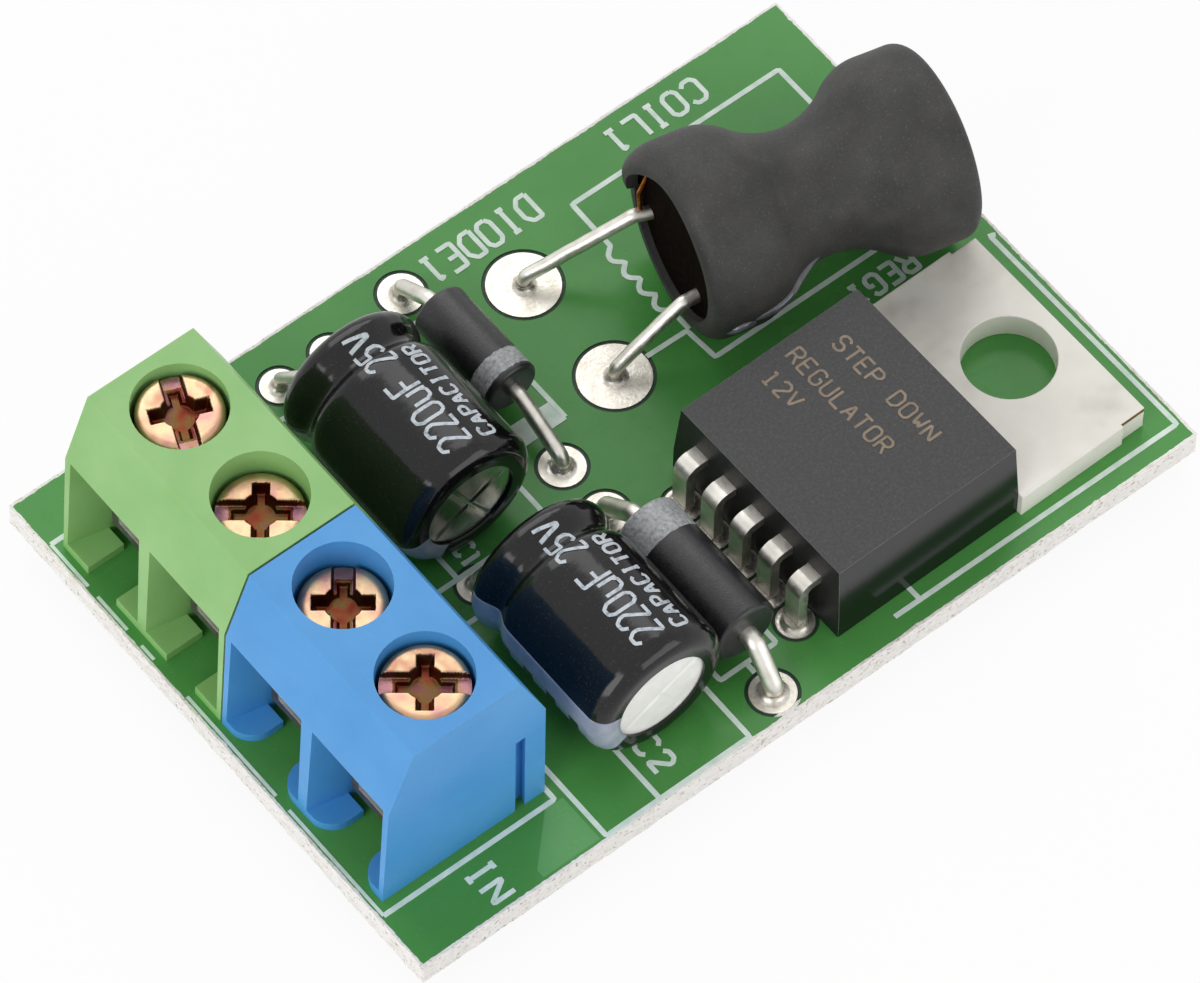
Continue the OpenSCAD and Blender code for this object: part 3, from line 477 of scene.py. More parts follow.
def skinned(rows, finish, ring=True, wrap=False, sharp=None):
    """A skin over rows of points in mm. ring closes each row, and wrap joins the last row to the first."""
    shape = bmesh.new()
    rows = [[shape.verts.new(Vector(point) * MM) for point in row] for row in rows]
    size = len(rows[0])
    for a, b in zip(rows, rows[1:] + rows[:1] if wrap else rows[1:]):
        for k in range(size if ring else size - 1):
            n = (k + 1) % size
            shape.faces.new((a[k], b[k], b[n], a[n]))
    if ring and not wrap:
        shape.faces.new(rows[0])
        shape.faces.new(rows[-1])
    bmesh.ops.remove_doubles(shape, verts=shape.verts, dist=MERGE)
    bmesh.ops.recalc_face_normals(shape, faces=shape.faces)
    return plain_mesh(shape, finish, smooth=True, sharp=sharp)


def spun(outline, place, finish, count, turns=FULL_TURN, dent=None, ring=False, sharp=None):
    """Spins (radius, along) points round an axis. place maps (radius, along, angle) to a point in mm."""
    whole = turns == FULL_TURN
    rows = []
    for angle in np.linspace(*turns, count, endpoint=not whole):
        row = []
        for radius, along in outline:
            out, on = dent(radius, along, angle) if dent and radius > 0 else (0.0, 0.0)
            row.append(place(radius + out, along + on, angle))
        rows.append(row)
    return skinned(rows, finish, ring, whole, sharp)


print("piece helpers ready")

# %% [markdown]
# Printed lines, hidden copper tracks, letters and wires all follow a path, so
# Geometry Nodes make them. Each tree takes a mesh of loose edges, turns it into
# curves, rounds the corners, and sweeps a section along them. Its sizes are
# named inputs, which a modifier takes by the socket's identifier.

# %% Geometry Nodes helpers
def new_tree(name, *sizes):
    """A tree with sockets for a geometry, its sizes and a finish. Gives back the sockets too."""
    tree = bpy.data.node_groups.new(name, "GeometryNodeTree")
    sockets = {"Geometry": "Geometry", **dict.fromkeys(sizes, "Float"), "Finish": "Material"}
    for label, kind in sockets.items():
        tree.interface.new_socket(label, in_out="INPUT", socket_type="NodeSocket" + kind)
    tree.interface.new_socket("Geometry", in_out="OUTPUT", socket_type="NodeSocketGeometry")
    return tree, tree.nodes.new("NodeGroupInput").outputs


def chain(tree, start, *nodes):
    """Links geometry through nodes, using each one's first geometry sockets."""
    for made in nodes:
        tree.links.new(start, next(s for s in made.inputs if s.type == "GEOMETRY"))
        start = next(s for s in made.outputs if s.type == "GEOMETRY")
    return start


def close_tree(tree, sizes, geometry):
    real = add(tree, "GeometryNodeRealizeInstances")
    coat = add(tree, "GeometryNodeSetMaterial", {"Material": sizes["Finish"]})
    add(tree, "NodeGroupOutput", {"Geometry": chain(tree, geometry, real, coat)})
    return tree


def even_path(tree, radius, count, step):
    """Nodes that turn loose edges into curves with round corners and even steps."""
    corners = {"Count": count, "Limit Radius": True, "Radius": radius}
    return (add(tree, "GeometryNodeMeshToCurve"),
            add(tree, "GeometryNodeFilletCurve", corners, mode="POLY"),
            add(tree, "GeometryNodeResampleCurve", {"Length": step}, mode="LENGTH"))


def swept(tree, section):
    inputs = {"Profile Curve": section.outputs["Curve"], "Fill Caps": True}
    return add(tree, "GeometryNodeCurveToMesh", inputs)


def ribbon_tree():
    """A flat ribbon along each path, standing up from it by its thickness."""
    tree, sizes = new_tree("ribbon_along_path", "Width", "Thickness", "Corner", "Step")
    section = add(tree, "GeometryNodeCurvePrimitiveQuadrilateral",
                  {"Width": sizes["Width"], "Height": sizes["Thickness"]}, mode="RECTANGLE")
    return close_tree(tree, sizes, chain(
        tree, sizes["Geometry"], *even_path(tree, sizes["Corner"], 4, sizes["Step"]),
        add(tree, "GeometryNodeSetCurveNormal", mode="Z_UP"), swept(tree, section),
        add(tree, "GeometryNodeSetShadeSmooth", {"Shade Smooth": False})))


def wire_tree():
    """A round wire along each path, with bends and small hand-made dents."""
    tree, sizes = new_tree("wire_along_path", "Radius", "Bend", "Dent", "Step")
    section = add(tree, "GeometryNodeCurvePrimitiveCircle",
                  {"Resolution": 20, "Radius": sizes["Radius"]}, mode="RADIUS")
    uneven = add(tree, "ShaderNodeTexNoise", {"Scale": 900.0, "Detail": 2.0}, noise_dimensions="3D")
    centred = add(tree, "ShaderNodeVectorMath",
                  {0: uneven.outputs["Color"], 1: (0.5, 0.5, 0.5)}, operation="SUBTRACT")
    amount = add(tree, "ShaderNodeVectorMath",
                 {0: centred.outputs["Vector"], "Scale": sizes["Dent"]}, operation="SCALE")
    return close_tree(tree, sizes, chain(
        tree, sizes["Geometry"], *even_path(tree, sizes["Bend"], 10, sizes["Step"]), swept(tree, section),
        add(tree, "GeometryNodeSetPosition", {"Offset": amount.outputs["Vector"]}),
        add(tree, "GeometryNodeSetShadeSmooth")))


def paths_mesh(paths):
    """Loose edges through lists of points in millimetres."""
    verts, edges = [], []
    for path in paths:
        first = len(verts)
        verts += [Vector(p) * MM for p in path]
        edges += [(i, i + 1) for i in range(first, len(verts) - 1)]
    mesh = bpy.data.meshes.new("paths")
    mesh.from_pydata(verts, edges, [])
    return mesh


def grown(paths, tree, finish, **sizes):
    """Runs a tree over paths and gives back the plain mesh it makes. Sizes are in millimetres."""
    carrier = placed("paths", paths_mesh(paths))
    modifier = carrier.modifiers.new("tree", "NODES")
    modifier.node_group = tree
    for item in tree.interface.items_tree:
        if item.in_out == "INPUT" and item.name in sizes:
            modifier[item.identifier] = sizes[item.name] * MM
        if item.in_out == "INPUT" and item.name == "Finish":
            modifier[item.identifier] = finish
    return baked(carrier)


ribbon_along_path = ribbon_tree()
wire_along_path = wire_tree()
print("trees:", [tree.name for tree in bpy.data.node_groups])

# %% [markdown]
# The lacquered board keeps the CAD shape, holes included. A copy of its mesh gets
# three materials by the way each face looks: lacquer on the flats, bare laminate
# in the sunk rings and holes, and sawn laminate on the outer edges.

# %% Board
def board_mesh():
    shape = merged_copy("circuit_board", flatten=False)
    low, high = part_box("circuit_board")
    for face in shape.faces:
        middle = face.calc_center_median()
        flat = abs(face.normal.z) > 0.9
        outer = max(abs(middle.x) - high.x, abs(middle.y) - high.y) > -1e-6
        on_top = abs(middle.z - high.z) < 1e-6 or abs(middle.z - low.z) < 1e-6
        face.material_index = 0 if flat and on_top else 2 if outer else 1
    return plain_mesh(shape, mask_green, bare_laminate, cut_laminate)


board = piece("board", board_mesh(), "board_green", "circuit_board")
print("board:", len(board.data.polygons), "faces")

# %% [markdown]
# A board broken from its panel has a torn edge: the lacquer chips back a little
# and the laminate stands out in small crumbs. A closed strip runs along each side
# with a wavy outer face and an uneven lip over the lacquer. Its waves come from
# a fixed noise, so that it is the same at each run.

# %% Sawn edges
HALF_L, HALF_W = 19.2, 13.0
EDGE_STEP, EDGE_ROWS, EDGE_DEPTH = 0.09, 9, 0.3
LIP = 0.006


def crumb(along, level, side):
    """A small outward push, from 0 to 1, that differs from side to side."""
    coarse = noise.noise(Vector((along * 1.1, level * 2.0, side * 7.3)))
    fine = noise.noise(Vector((along * 5.0, level * 6.0, side * 3.1 + 20.0)))
    return min(max(0.45 + 0.45 * coarse + 0.4 * fine, 0.0), 1.0)


def sawn_strip(side):
    length, reach = (HALF_L, HALF_W) if side % 2 == 0 else (HALF_W, HALF_L)
    spin = Matrix.Rotation(side * math.pi / 2, 3, "Z")
    rows = []
    for along in np.linspace(-length, length, int(2 * length / EDGE_STEP) + 1):
        row = [(reach - 0.03 - 0.1 * crumb(along, 3.0, side) ** 2, BOARD_TOP + LIP)]
        for level in np.linspace(BOARD_TOP, BOARD_BOTTOM, EDGE_ROWS):
            row.append((reach + 0.01 + 0.06 * crumb(along, level, side), level))
        row += [(reach - 0.03 - 0.16 * crumb(along, 5.0, side) ** 2, BOARD_BOTTOM - LIP),
                (reach - EDGE_DEPTH, BOARD_BOTTOM + 0.05), (reach - EDGE_DEPTH, BOARD_TOP - 0.05)]
        rows.append([spin @ Vector((along, -out, level)) for out, level in row])
    return skinned(rows, cut_laminate, sharp=40)


for side in range(4):
    piece(f"sawn_edge_{side + 1}", sawn_strip(side), "board_green")
print("sawn edges: 4 strips")

# %% [markdown]
# Copper tracks join the pads on the underside, under the lacquer, where they look
# slightly lighter. Each is a wide, low ribbon between two pads that a converter
# of this kind joins, and it stops at the rims of both. Some go round a bend, so
# that no two cross. On top, one area with a slanted end shows by the input's corner.

# %% Copper under the lacquer
PADS = {
    "out_plus": (-12.11, 7.75, 1.1), "out_minus": (-12.11, 2.75, 1.1),
    "in_minus": (-12.11, -2.35, 1.1), "in_plus": (-12.11, -7.35, 1.1),
    "cap_1_minus": (-5.1, 10.9, 0.9), "cap_1_plus": (-7.6, 10.9, 0.9),
    "cap_2_plus": (-4.65, -1.05, 0.9), "cap_2_minus": (-7.15, -1.05, 0.9),
    "choke_out": (2.85, 8.7, 1.52), "choke_in": (3.0, 3.15, 1.52),
    "diode_1_top": (-1.2, 11.35, 0.95), "diode_1_low": (-1.2, 1.15, 0.95),
    "diode_2_top": (-1.2, -1.55, 0.95), "diode_2_low": (-1.2, -11.85, 0.95),
    "leg_1": (1.41, -3.11, 0.78), "leg_2": (1.43, -4.81, 0.78),
}
TRACKS = [
    ("out_plus", "cap_1_plus", 1.6), ("cap_1_minus", "diode_1_top", 1.5),
    ("cap_1_plus", "choke_out", 1.5, (-6.3, 8.6), (1.0, 8.6)), ("choke_in", "diode_1_low", 1.5),
    ("choke_in", "leg_2", 1.0, (3.2, -3.9)), ("out_minus", "in_minus", 1.8), ("in_minus", "cap_2_minus", 1.4),
    ("in_plus", "diode_2_low", 1.8), ("cap_2_plus", "diode_2_top", 1.3), ("diode_2_top", "leg_1", 1.1),
]
TRACK_LIFT = 0.004


def track_path(first, last, bends):
    """The way between two pads, from rim to rim, round any bends."""
    points = [Vector(PADS[first][:2])] + [Vector(bend) for bend in bends] + [Vector(PADS[last][:2])]
    points[0] = points[0] + (points[1] - points[0]).normalized() * PADS[first][2]
    points[-1] = points[-1] + (points[-2] - points[-1]).normalized() * PADS[last][2]
    return [(p.x, p.y, BOARD_BOTTOM + TRACK_LIFT) for p in points]


copper = bmesh.new()
for first, last, width, *bends in TRACKS:
    copper.from_mesh(grown([track_path(first, last, bends)], ribbon_along_path, mask_over_copper,
                           Width=width, Thickness=0.024, Corner=0.5, Step=0.4))
piece("copper_below", plain_mesh(copper, mask_over_copper), "board_green")

CORNER_AREA = [(-11.3, -10.5), (-13.2, -12.4), (-13.2, -12.8), (-10.45, -12.8), (-10.45, -10.5)]
AREA_T = 0.008
area = bmesh.new()
base = area.faces.new([area.verts.new(Vector((x, y, BOARD_TOP - AREA_T / 2)) * MM) for x, y in CORNER_AREA])
for part in bmesh.ops.extrude_face_region(area, geom=[base], use_keep_orig=True)["geom"]:
    if isinstance(part, bmesh.types.BMVert):
        part.co.z += AREA_T * MM
bmesh.ops.recalc_face_normals(area, faces=area.faces)
piece("copper_above", plain_mesh(area, mask_over_copper), "board_green")
print("copper:", len(TRACKS), "tracks below, one area above")

# %% [markdown]
# Letters on a board are drawn with one even stroke, so they are paths too. The
# little alphabet below gives each letter as strokes on a grid four wide and six
# high. The words are plain ones, such as IN and COIL, that name no maker.

# %% Stroke letters
ROUND = [(1, 0), (3, 0), (4, 1), (4, 5), (3, 6), (1, 6), (0, 5), (0, 1), (1, 0)]
BOWL = [(0, 0), (0, 6), (3, 6), (4, 5), (4, 4), (3, 3), (0, 3)]
STROKES = {
    "A": [[(0, 0), (2, 6), (4, 0)], [(0.7, 2), (3.3, 2)]],
    "C": [[(4, 5), (3, 6), (1, 6), (0, 5), (0, 1), (1, 0), (3, 0), (4, 1)]],
    "D": [[(0, 0), (0, 6), (2.5, 6), (4, 4.5), (4, 1.5), (2.5, 0), (0, 0)]],
    "E": [[(4, 6), (0, 6), (0, 0), (4, 0)], [(0, 3), (3, 3)]],
    "F": [[(4, 6), (0, 6), (0, 0)], [(0, 3), (3, 3)]],
    "G": [[(4, 5), (3, 6), (1, 6), (0, 5), (0, 1), (1, 0), (3, 0), (4, 1), (4, 3), (2.4, 3)]],
    "I": [[(2, 0), (2, 6)], [(1, 0), (3, 0)], [(1, 6), (3, 6)]],
    "L": [[(0, 6), (0, 0), (4, 0)]],
    "N": [[(0, 0), (0, 6), (4, 0), (4, 6)]],
    "O": [ROUND],
    "P": [BOWL],
    "R": [BOWL, [(2, 3), (4, 0)]],
    "S": [[(4, 5), (3, 6), (1, 6), (0, 5), (0, 4), (1, 3), (3, 3), (4, 2), (4, 1), (3, 0), (1, 0), (0, 1)]],
    "T": [[(0, 6), (4, 6)], [(2, 6), (2, 0)]],
    "U": [[(0, 6), (0, 1), (1, 0), (3, 0), (4, 1), (4, 6)]],
    "V": [[(0, 6), (2, 0), (4, 6)]],
    "W": [[(0, 6), (1, 0), (2, 4), (3, 0), (4, 6)]],
    "u": [[(0, 4), (0, 1), (1, 0), (3, 0), (4, 1)], [(4, 4), (4, 0)]],
    "0": [ROUND],
    "1": [[(0.8, 5), (2, 6), (2, 0)], [(0.8, 0), (3.2, 0)]],
    "2": [[(0, 5), (1, 6), (3, 6), (4, 5), (4, 4), (0, 0), (4, 0)]],
    "5": [[(4, 6), (0, 6), (0, 3.5), (3, 3.5), (4, 2.6), (4, 1), (3, 0), (1, 0), (0, 1)]],
    " ": [],
}
GLYPH_H = 6.0
GLYPH_STEP = 5.8
HAIR = 0.002


def word(text, start, along, rise, height, narrow=1.0):
    """Strokes of a word as points in a plane: along and rise are its two directions."""
    scale = height / GLYPH_H
    start, along, rise = Vector(start), Vector(along) * scale * narrow, Vector(rise) * scale
    paths = []
    for i, letter in enumerate(text):
        corner = start + along * (i * GLYPH_STEP)
        paths += [[corner + along * x + rise * y for x, y in stroke] for stroke in STROKES[letter]]
    return paths


def layered(paths, level):
    """Sets strokes at a level, each a hair above the last, so that crossings stay clean."""
    return [[(p[0], p[1], level + HAIR * (i % 8 + 0.5 * k / len(path))) for k, p in enumerate(path)]
            for i, path in enumerate(paths)]


print("letters:", "".join(sorted(STROKES)).strip())

# %% [markdown]
# The legend is a thin layer of pale ink. Its lines frame the two blocks, the
# capacitors, the diodes, the choke with its coil sign, and the regulator's tab.
# Along the wire entries the ink is worn to short, thin strokes. A ribbon tree
# draws lines, letters and the diode's filled bar alike, with another width for
# each.

# %% Printed legend
INK_T = 0.016
INK_Z = BOARD_TOP + INK_T / 2
COIL_X = 6.68
COIL_TOP, HUMPS, HUMP_STEPS = 8.0, 4, 6
HUMP_PITCH, HUMP_W = 0.96, 0.42
ENTRY_X = -19.0
TO_FRONT, TO_LEFT = ((0, -1), (1, 0)), ((-1, 0), (0, -1))


def coil_sign():
    """Four half-round humps in a row, as in a circuit drawing."""
    points = [(COIL_X, 8.75), (COIL_X, COIL_TOP)]
    for step in range(1, HUMPS * HUMP_STEPS + 1):
        bulge = HUMP_W * math.sin(math.pi * (step % HUMP_STEPS) / HUMP_STEPS)
        points.append((COIL_X - bulge, COIL_TOP - HUMP_PITCH * step / HUMP_STEPS))
    return points + [(COIL_X, 3.05)]


LEGEND_LINES = [
    [(ENTRY_X, -10.36), (-10.75, -10.38), (-10.75, 10.6), (ENTRY_X, 10.6)],
    [(-10.19, -2.2), (-10.19, -12.86), (-3.15, -12.84), (-3.12, -2.2), (-10.19, -2.2)],
    [(-7.57, -12.86), (-7.57, -2.2)],
    [(-10.1, 9.6), (-10.1, -0.38), (-3.1, -0.38), (-3.08, 9.6), (-10.1, 9.6)],
    [(-7.58, -0.38), (-7.58, 9.6)],
    [(-2.68, -2.9), (-2.46, -10.2), (0.3, -10.2), (0.3, -2.9), (-2.68, -2.9)],
    [(-1.2, -10.2), (-1.2, -10.75)],
    [(0.3, 2.85), (0.28, 9.9), (-2.7, 9.9), (-2.7, 2.85), (0.3, 2.85)],
    [(6.68, 8.78), (6.71, 10.48), (17.24, 10.44), (17.27, 1.4), (6.68, 1.4), (6.56, 3.04), (4.56, 3.08)],
    [(6.68, 8.78), (4.6, 8.74)],
    [(19.0, -1.0), (18.78, -0.85), (18.9, -12.18), (4.63, -12.14)],
    [(5.9, -12.1), (5.88, -11.04)],
    coil_sign(),
]
WORN_ENDS = [(10.6, 8.2), (7.6, 5.7), (4.8, 4.0), (1.9, -3.7), (-4.5, -10.36)]
LEGEND_WORN = [[(ENTRY_X, start), (ENTRY_X, stop)] for start, stop in WORN_ENDS]
LEGEND_BARS = [[(-1.74, 3.35), (-0.7, 3.33), (0.2, 3.3)]]
LEGEND_WORDS = (
    word("IN", (-15.51, -10.8), *TO_FRONT, 1.12, 0.95) + word("OUT", (-15.62, 12.75), *TO_FRONT, 1.05, 0.62)
    + word("COIL1", (14.25, 12.3), *TO_LEFT, 1.15, 0.88) + word("DIODE1", (5.5, 12.05), *TO_LEFT, 1.25, 0.78)
    + word("REG1", (15.7, 0.62), *TO_LEFT, 0.95, 0.9)
    + word("C2", (-6.95, -10.35), *TO_FRONT, 0.95) + word("C1", (-6.95, 0.75), *TO_FRONT, 0.8, 0.7))
for name, paths, level, width, corner, step in (
        ("legend_lines", LEGEND_LINES, INK_Z, 0.22, 0.03, 0.12),
        ("legend_worn", LEGEND_WORN, INK_Z - HAIR, 0.14, 0.03, 0.12),
        ("legend_bars", LEGEND_BARS, INK_Z - HAIR, 1.0, 0.1, 0.3),
        ("legend_words", LEGEND_WORDS, INK_Z, 0.2, 0.05, 0.07)):
    ink = grown(layered(paths, level), ribbon_along_path, legend_ink,
                Width=width, Thickness=INK_T, Corner=corner, Step=step)
    piece(name, ink, "board_green")
print("legend:", len(LEGEND_LINES), "lines,", len(LEGEND_WORDS), "strokes of letters")

# %% [markdown]
# Pads and solder joints keep their CAD shapes. Merged copies with smooth shading
# let the small fillets catch the light, and the joints get the smoother metal.

# %% Pads and solder
piece("pads", smooth_copy("plated_holes", tinned_pad), "tinned_copper", "plated_holes")
for joint in ("terminal", "choke", "diode", "capacitor", "regulator"):
    piece(f"{joint}_joints", smooth_copy(f"{joint}_solder", solder_metal), "solder", f"{joint}_solder")
print("pads and five sets of joints")

# %% [markdown]
# The terminal blocks are mouldings with crisp, barely rounded corners. A bevel of
# a tenth of a millimetre gives each edge the thin light line that it has in the
# photograph.

# %% Terminal blocks
for tone, finish in (("output", output_plastic), ("input", input_plastic)):
    mesh = softened(merged_copy(f"{tone}_housing"), 0.09, finish)
    piece(f"{tone}_block", mesh, f"{tone}_plastic", f"{tone}_housing")
print("terminal blocks: 2")

# %% [markdown]
# A clamp screw is yellow zinc with a thread that the CAD model leaves plain. It is
# turned from its outline, and the driver recess is pressed into the head: a slot
# from rim to rim, and a deeper cross with a round middle and soft flanks. A tree
# winds the thread's ridge round the shank from a spiral. The cross gets a darker,
# browner metal and the slot a darker, pinker one: their own film tone, with painted
# shade of the recess in their darkness. Each screw rides on its own body, because it
# turns. A cage is a bent strip, bright at its rounded edges, with its front face
# painted dark as painted shade inside the wire entry.

# %% Clamp screws
THREAD_ROOT, THREAD_PITCH, RIDGE_SHARE = 1.02, 0.45, 0.48
HEAD_R, HEAD_H, HEAD_ROUND, SHOULDER = 1.75, 1.1, 0.25, 0.36
SLOT_W, SLOT_D, SLOT_FLANK = 0.84, 0.36, (0.05, -0.05)
CROSS_W, CROSS_SPAN, CROSS_R, CROSS_D, CROSS_FLANK = 0.64, 2.4, 0.74, 0.6, (0.04, -0.18)
UNDER_HEAD = 0.1
SCREW_X = -14.615
POLE_Y = (7.75, 2.75, -2.35, -7.35)
SLOT_TURN = (66.8, -38.6, 51.8, -38.6)


def thread_tree():
    tree, sizes = new_tree("thread_ridge", "Root", "Length", "Pitch")
    spiral = add(tree, "GeometryNodeCurveSpiral", {
        "Resolution": 28, "Rotations": maths(tree, "DIVIDE", sizes["Length"], sizes["Pitch"]),
        "Start Radius": sizes["Root"], "End Radius": sizes["Root"], "Height": sizes["Length"]})
    size = maths(tree, "MULTIPLY", sizes["Pitch"], RIDGE_SHARE)
    section = add(tree, "GeometryNodeCurvePrimitiveCircle", {"Resolution": 4, "Radius": size}, mode="RADIUS")
    return close_tree(tree, sizes, chain(tree, spiral.outputs["Curve"], swept(tree, section)))


thread_ridge = thread_tree()


def recess_edges(across, along):
    """How far a spot of the head lies outside the slot and outside the cross, in mm."""
    u, v = abs(across), abs(along)
    arms = min(max(u - CROSS_W / 2, v - CROSS_SPAN / 2), max(u - CROSS_SPAN / 2, v - CROSS_W / 2))
    return v - SLOT_W / 2, min(arms, math.hypot(u, v) - CROSS_R)


def sink(distance, start, stop):
    share = min(max((start - distance) / (start - stop), 0.0), 1.0)
    return share * share * (3 - 2 * share)


def screw_mesh(number):
    low, high = (corner.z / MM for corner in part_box(f"screw_{number}"))
    neck, flat = high - HEAD_H, HEAD_R - SHOULDER
    turn, middle = math.radians(SLOT_TURN[number - 1]), POLE_Y[number - 1]

    def on_screw(radius, along, angle):
        return SCREW_X + radius * math.cos(angle), middle + radius * math.sin(angle), along

    def pressed(radius, along, angle):
        slot, cross = recess_edges(radius * math.cos(angle - turn), radius * math.sin(angle - turn))
        depth = max(SLOT_D * sink(slot, *SLOT_FLANK), CROSS_D * sink(cross, *CROSS_FLANK))
        return 0.0, (min(0.0, high - depth - along) if along > neck + UNDER_HEAD else 0.0)

    rounded = [(flat + SHOULDER * math.sin(a), high - HEAD_ROUND * (1 - math.cos(a)))
               for a in np.radians(np.linspace(0, 90, 10))]
    outline = [(0.0, high - CROSS_D)] + [(r, high) for r in np.arange(0.03, flat - 0.02, 0.035)] + rounded
    outline += [(HEAD_R, neck), (THREAD_ROOT, neck), (THREAD_ROOT, low), (0.0, low)]
    ridge = grown([[(0, 0, 0), (0, 0, 1)]], thread_ridge, yellow_zinc,
                  Root=THREAD_ROOT, Length=neck - low - 0.3, Pitch=THREAD_PITCH)
    ridge.transform(Matrix.Translation(Vector((SCREW_X, middle, low + 0.15)) * MM))
    joined = bmesh.new()
    joined.from_mesh(spun(outline, on_screw, yellow_zinc, 216, dent=pressed))
    joined.from_mesh(ridge)
    # Faces in the cross and the slot take the darker metals, which carry painted shade of the recess.
    for face in joined.faces:
        spot = face.calc_center_median() / MM - Vector((SCREW_X, middle, 0.0))
        spot.rotate(Matrix.Rotation(-turn, 3, "Z"))
        slot, cross = recess_edges(spot.x, spot.y)
        if spot.z > neck + UNDER_HEAD and min(slot, cross) < 0.03 and spot.xy.length < HEAD_R - 0.01:
            face.material_index = 1 if cross < 0.03 or abs(slot) < 0.05 else 2
    return plain_mesh(joined, yellow_zinc, recess_zinc_and_shade, slot_zinc_and_shade, sharp=75)


def cage_mesh(number):
    """The cage, with its rounded edges bright and its front face painted dark as painted shade."""
    shape = merged_copy(f"cage_{number}")
    # Faces that look to -X, into the wire entry, take the dark steel: painted shade.
    for face in shape.faces:
        face.material_index = 1 if face.normal.x < -0.9 else 0
    return softened(shape, 0.2, clamp_metal, painted_shade_steel, steps=3, edge=0)


for number in range(1, 5):
    screw, cage, contact = f"screw_{number}", f"cage_{number}", f"contact_{number}"
    piece(f"clamp_screw_{number}", screw_mesh(number), "yellow_zinc", screw, body=screw)
    piece(f"clamp_cage_{number}", cage_mesh(number), "plated_steel", cage, body=cage)
    strip = softened(merged_copy(contact), 0.05, contact_metal)
    piece(f"contact_strip_{number}", strip, "contact_metal", contact)
print("clamps: 4 screws, 4 cages, 4 contacts")

# %% [markdown]
# The regulator is a moulded block on a metal tab. Its edges are nearly sharp and
# painted pale as a painted highlight, its top is painted lighter as painted light,
# and its long sides and front are painted darker as painted shade. Its long sides
# are glossy enough to mirror the board, and its top carries a faint laser mark in
# plain words. The tab shows reddish copper where its corners were sheared.

# %% Regulator
REG_AT = Vector((2.25, -6.5))
REG_SPIN = Matrix.Rotation(math.radians(0.7), 2)
REG_H = 4.3
TAB_END, TAB_HALF, TAB_T = 15.5, 5.25, 1.3
NOTCH_L, NOTCH_D, BURR = 1.2, 0.15, 0.22
MARK_H = 0.74
MARK_ROWS = (("STEP DOWN", 6.55, 3.4), ("REGULATOR", 4.8, 4.1), ("12V", 3.4, 3.9))


def tab_mesh():
    shape = merged_copy("regulator_tab")
    burr_z = BOARD_TOP + TAB_T - BURR
    everything = shape.verts[:] + shape.edges[:] + shape.faces[:]
    bmesh.ops.bisect_plane(shape, geom=everything, plane_co=(0, 0, burr_z * MM), plane_no=(0, 0, 1))
    for face in shape.faces:
        middle = face.calc_center_median() / MM
        x, y = REG_SPIN.transposed() @ (middle.xy - REG_AT)
        notch = x > TAB_END - NOTCH_L - 0.05 and abs(y) > TAB_HALF - 2 * NOTCH_D
        face.material_index = 1 if notch and abs(face.normal.z) < 0.5 and middle.z > burr_z else 0
    return softened(shape, 0.05, tab_metal, sheared_copper)


def block_mesh():
    shape = merged_copy("regulator_body")
    # Tops take the lighter epoxy, long sides and the front the darker ones: painted light and shade.
    for face in shape.faces:
        face.material_index = 0 if face.normal.z > 0.9 else 1 if abs(face.normal.y) > 0.7 else 2
    return softened(shape, 0.05, moulded_epoxy, shaded_side_epoxy, shaded_front_epoxy, edge_highlight_epoxy, edge=3)


piece("tab", tab_mesh(), "tab_metal", "regulator_tab")
piece("regulator_block", block_mesh(), "moulded_epoxy", "regulator_body")
for number in range(1, 6):
    mesh = softened(merged_copy(f"regulator_lead_{number}"), 0.07, tinned_lead)
    piece(f"regulator_leg_{number}", mesh, "tinned_copper", f"regulator_lead_{number}")
rows = [path for text, x, y in MARK_ROWS for path in word(text, (x, y), *TO_FRONT, MARK_H, 0.92)]
rows = [[REG_AT + REG_SPIN @ point for point in path] for path in rows]
mark = grown(layered(rows, BOARD_TOP + REG_H + HAIR), ribbon_along_path, laser_mark,
             Width=0.11, Thickness=0.012, Corner=0.04, Step=0.06)
piece("regulator_mark", mark, "moulded_epoxy")
print("regulator: tab, block, five legs and its mark")

# %% [markdown]
# The choke is a ferrite drum wound with copper, under a tube that was shrunk over
# it, so the tube follows the drum's waist. It is spun from its outline, with a
# slow noise for the lumps that shrinking leaves. The end of the tube turns in
# over the rim, torn a little by one lead, and leaves the drum's dark end open.
# Two glossy folds lie low on its side, painted a lighter grey than the tube as a painted highlight.

# %% Choke
drum_low, drum_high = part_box("choke_drum")
CHOKE_AT = (drum_low + drum_high) / 2 / MM
CHOKE_TURN = math.radians(-12)
DRUM_HALF = 5.6
SLEEVE_R, WAIST_R, SLEEVE_END = 4.15, 2.71, 5.91
SLEEVE_T, SLEEVE_ROUND, SLEEVE_LIP = 0.3, 0.7, 0.25
WAIST_BEND, SHOULDER_BEND = 3.4, 2.4
LIP_AT = math.radians(20)
FOLDS = [(-4.3, -0.9, 191, 0.2), (-5.35, -4.2, 196, 0.2)]


def arc(centre, radius, start, stop, steps):
    angles = np.radians(np.linspace(start, stop, steps + 1))
    return [(centre[0] + radius * math.cos(a), centre[1] + radius * math.sin(a)) for a in angles]


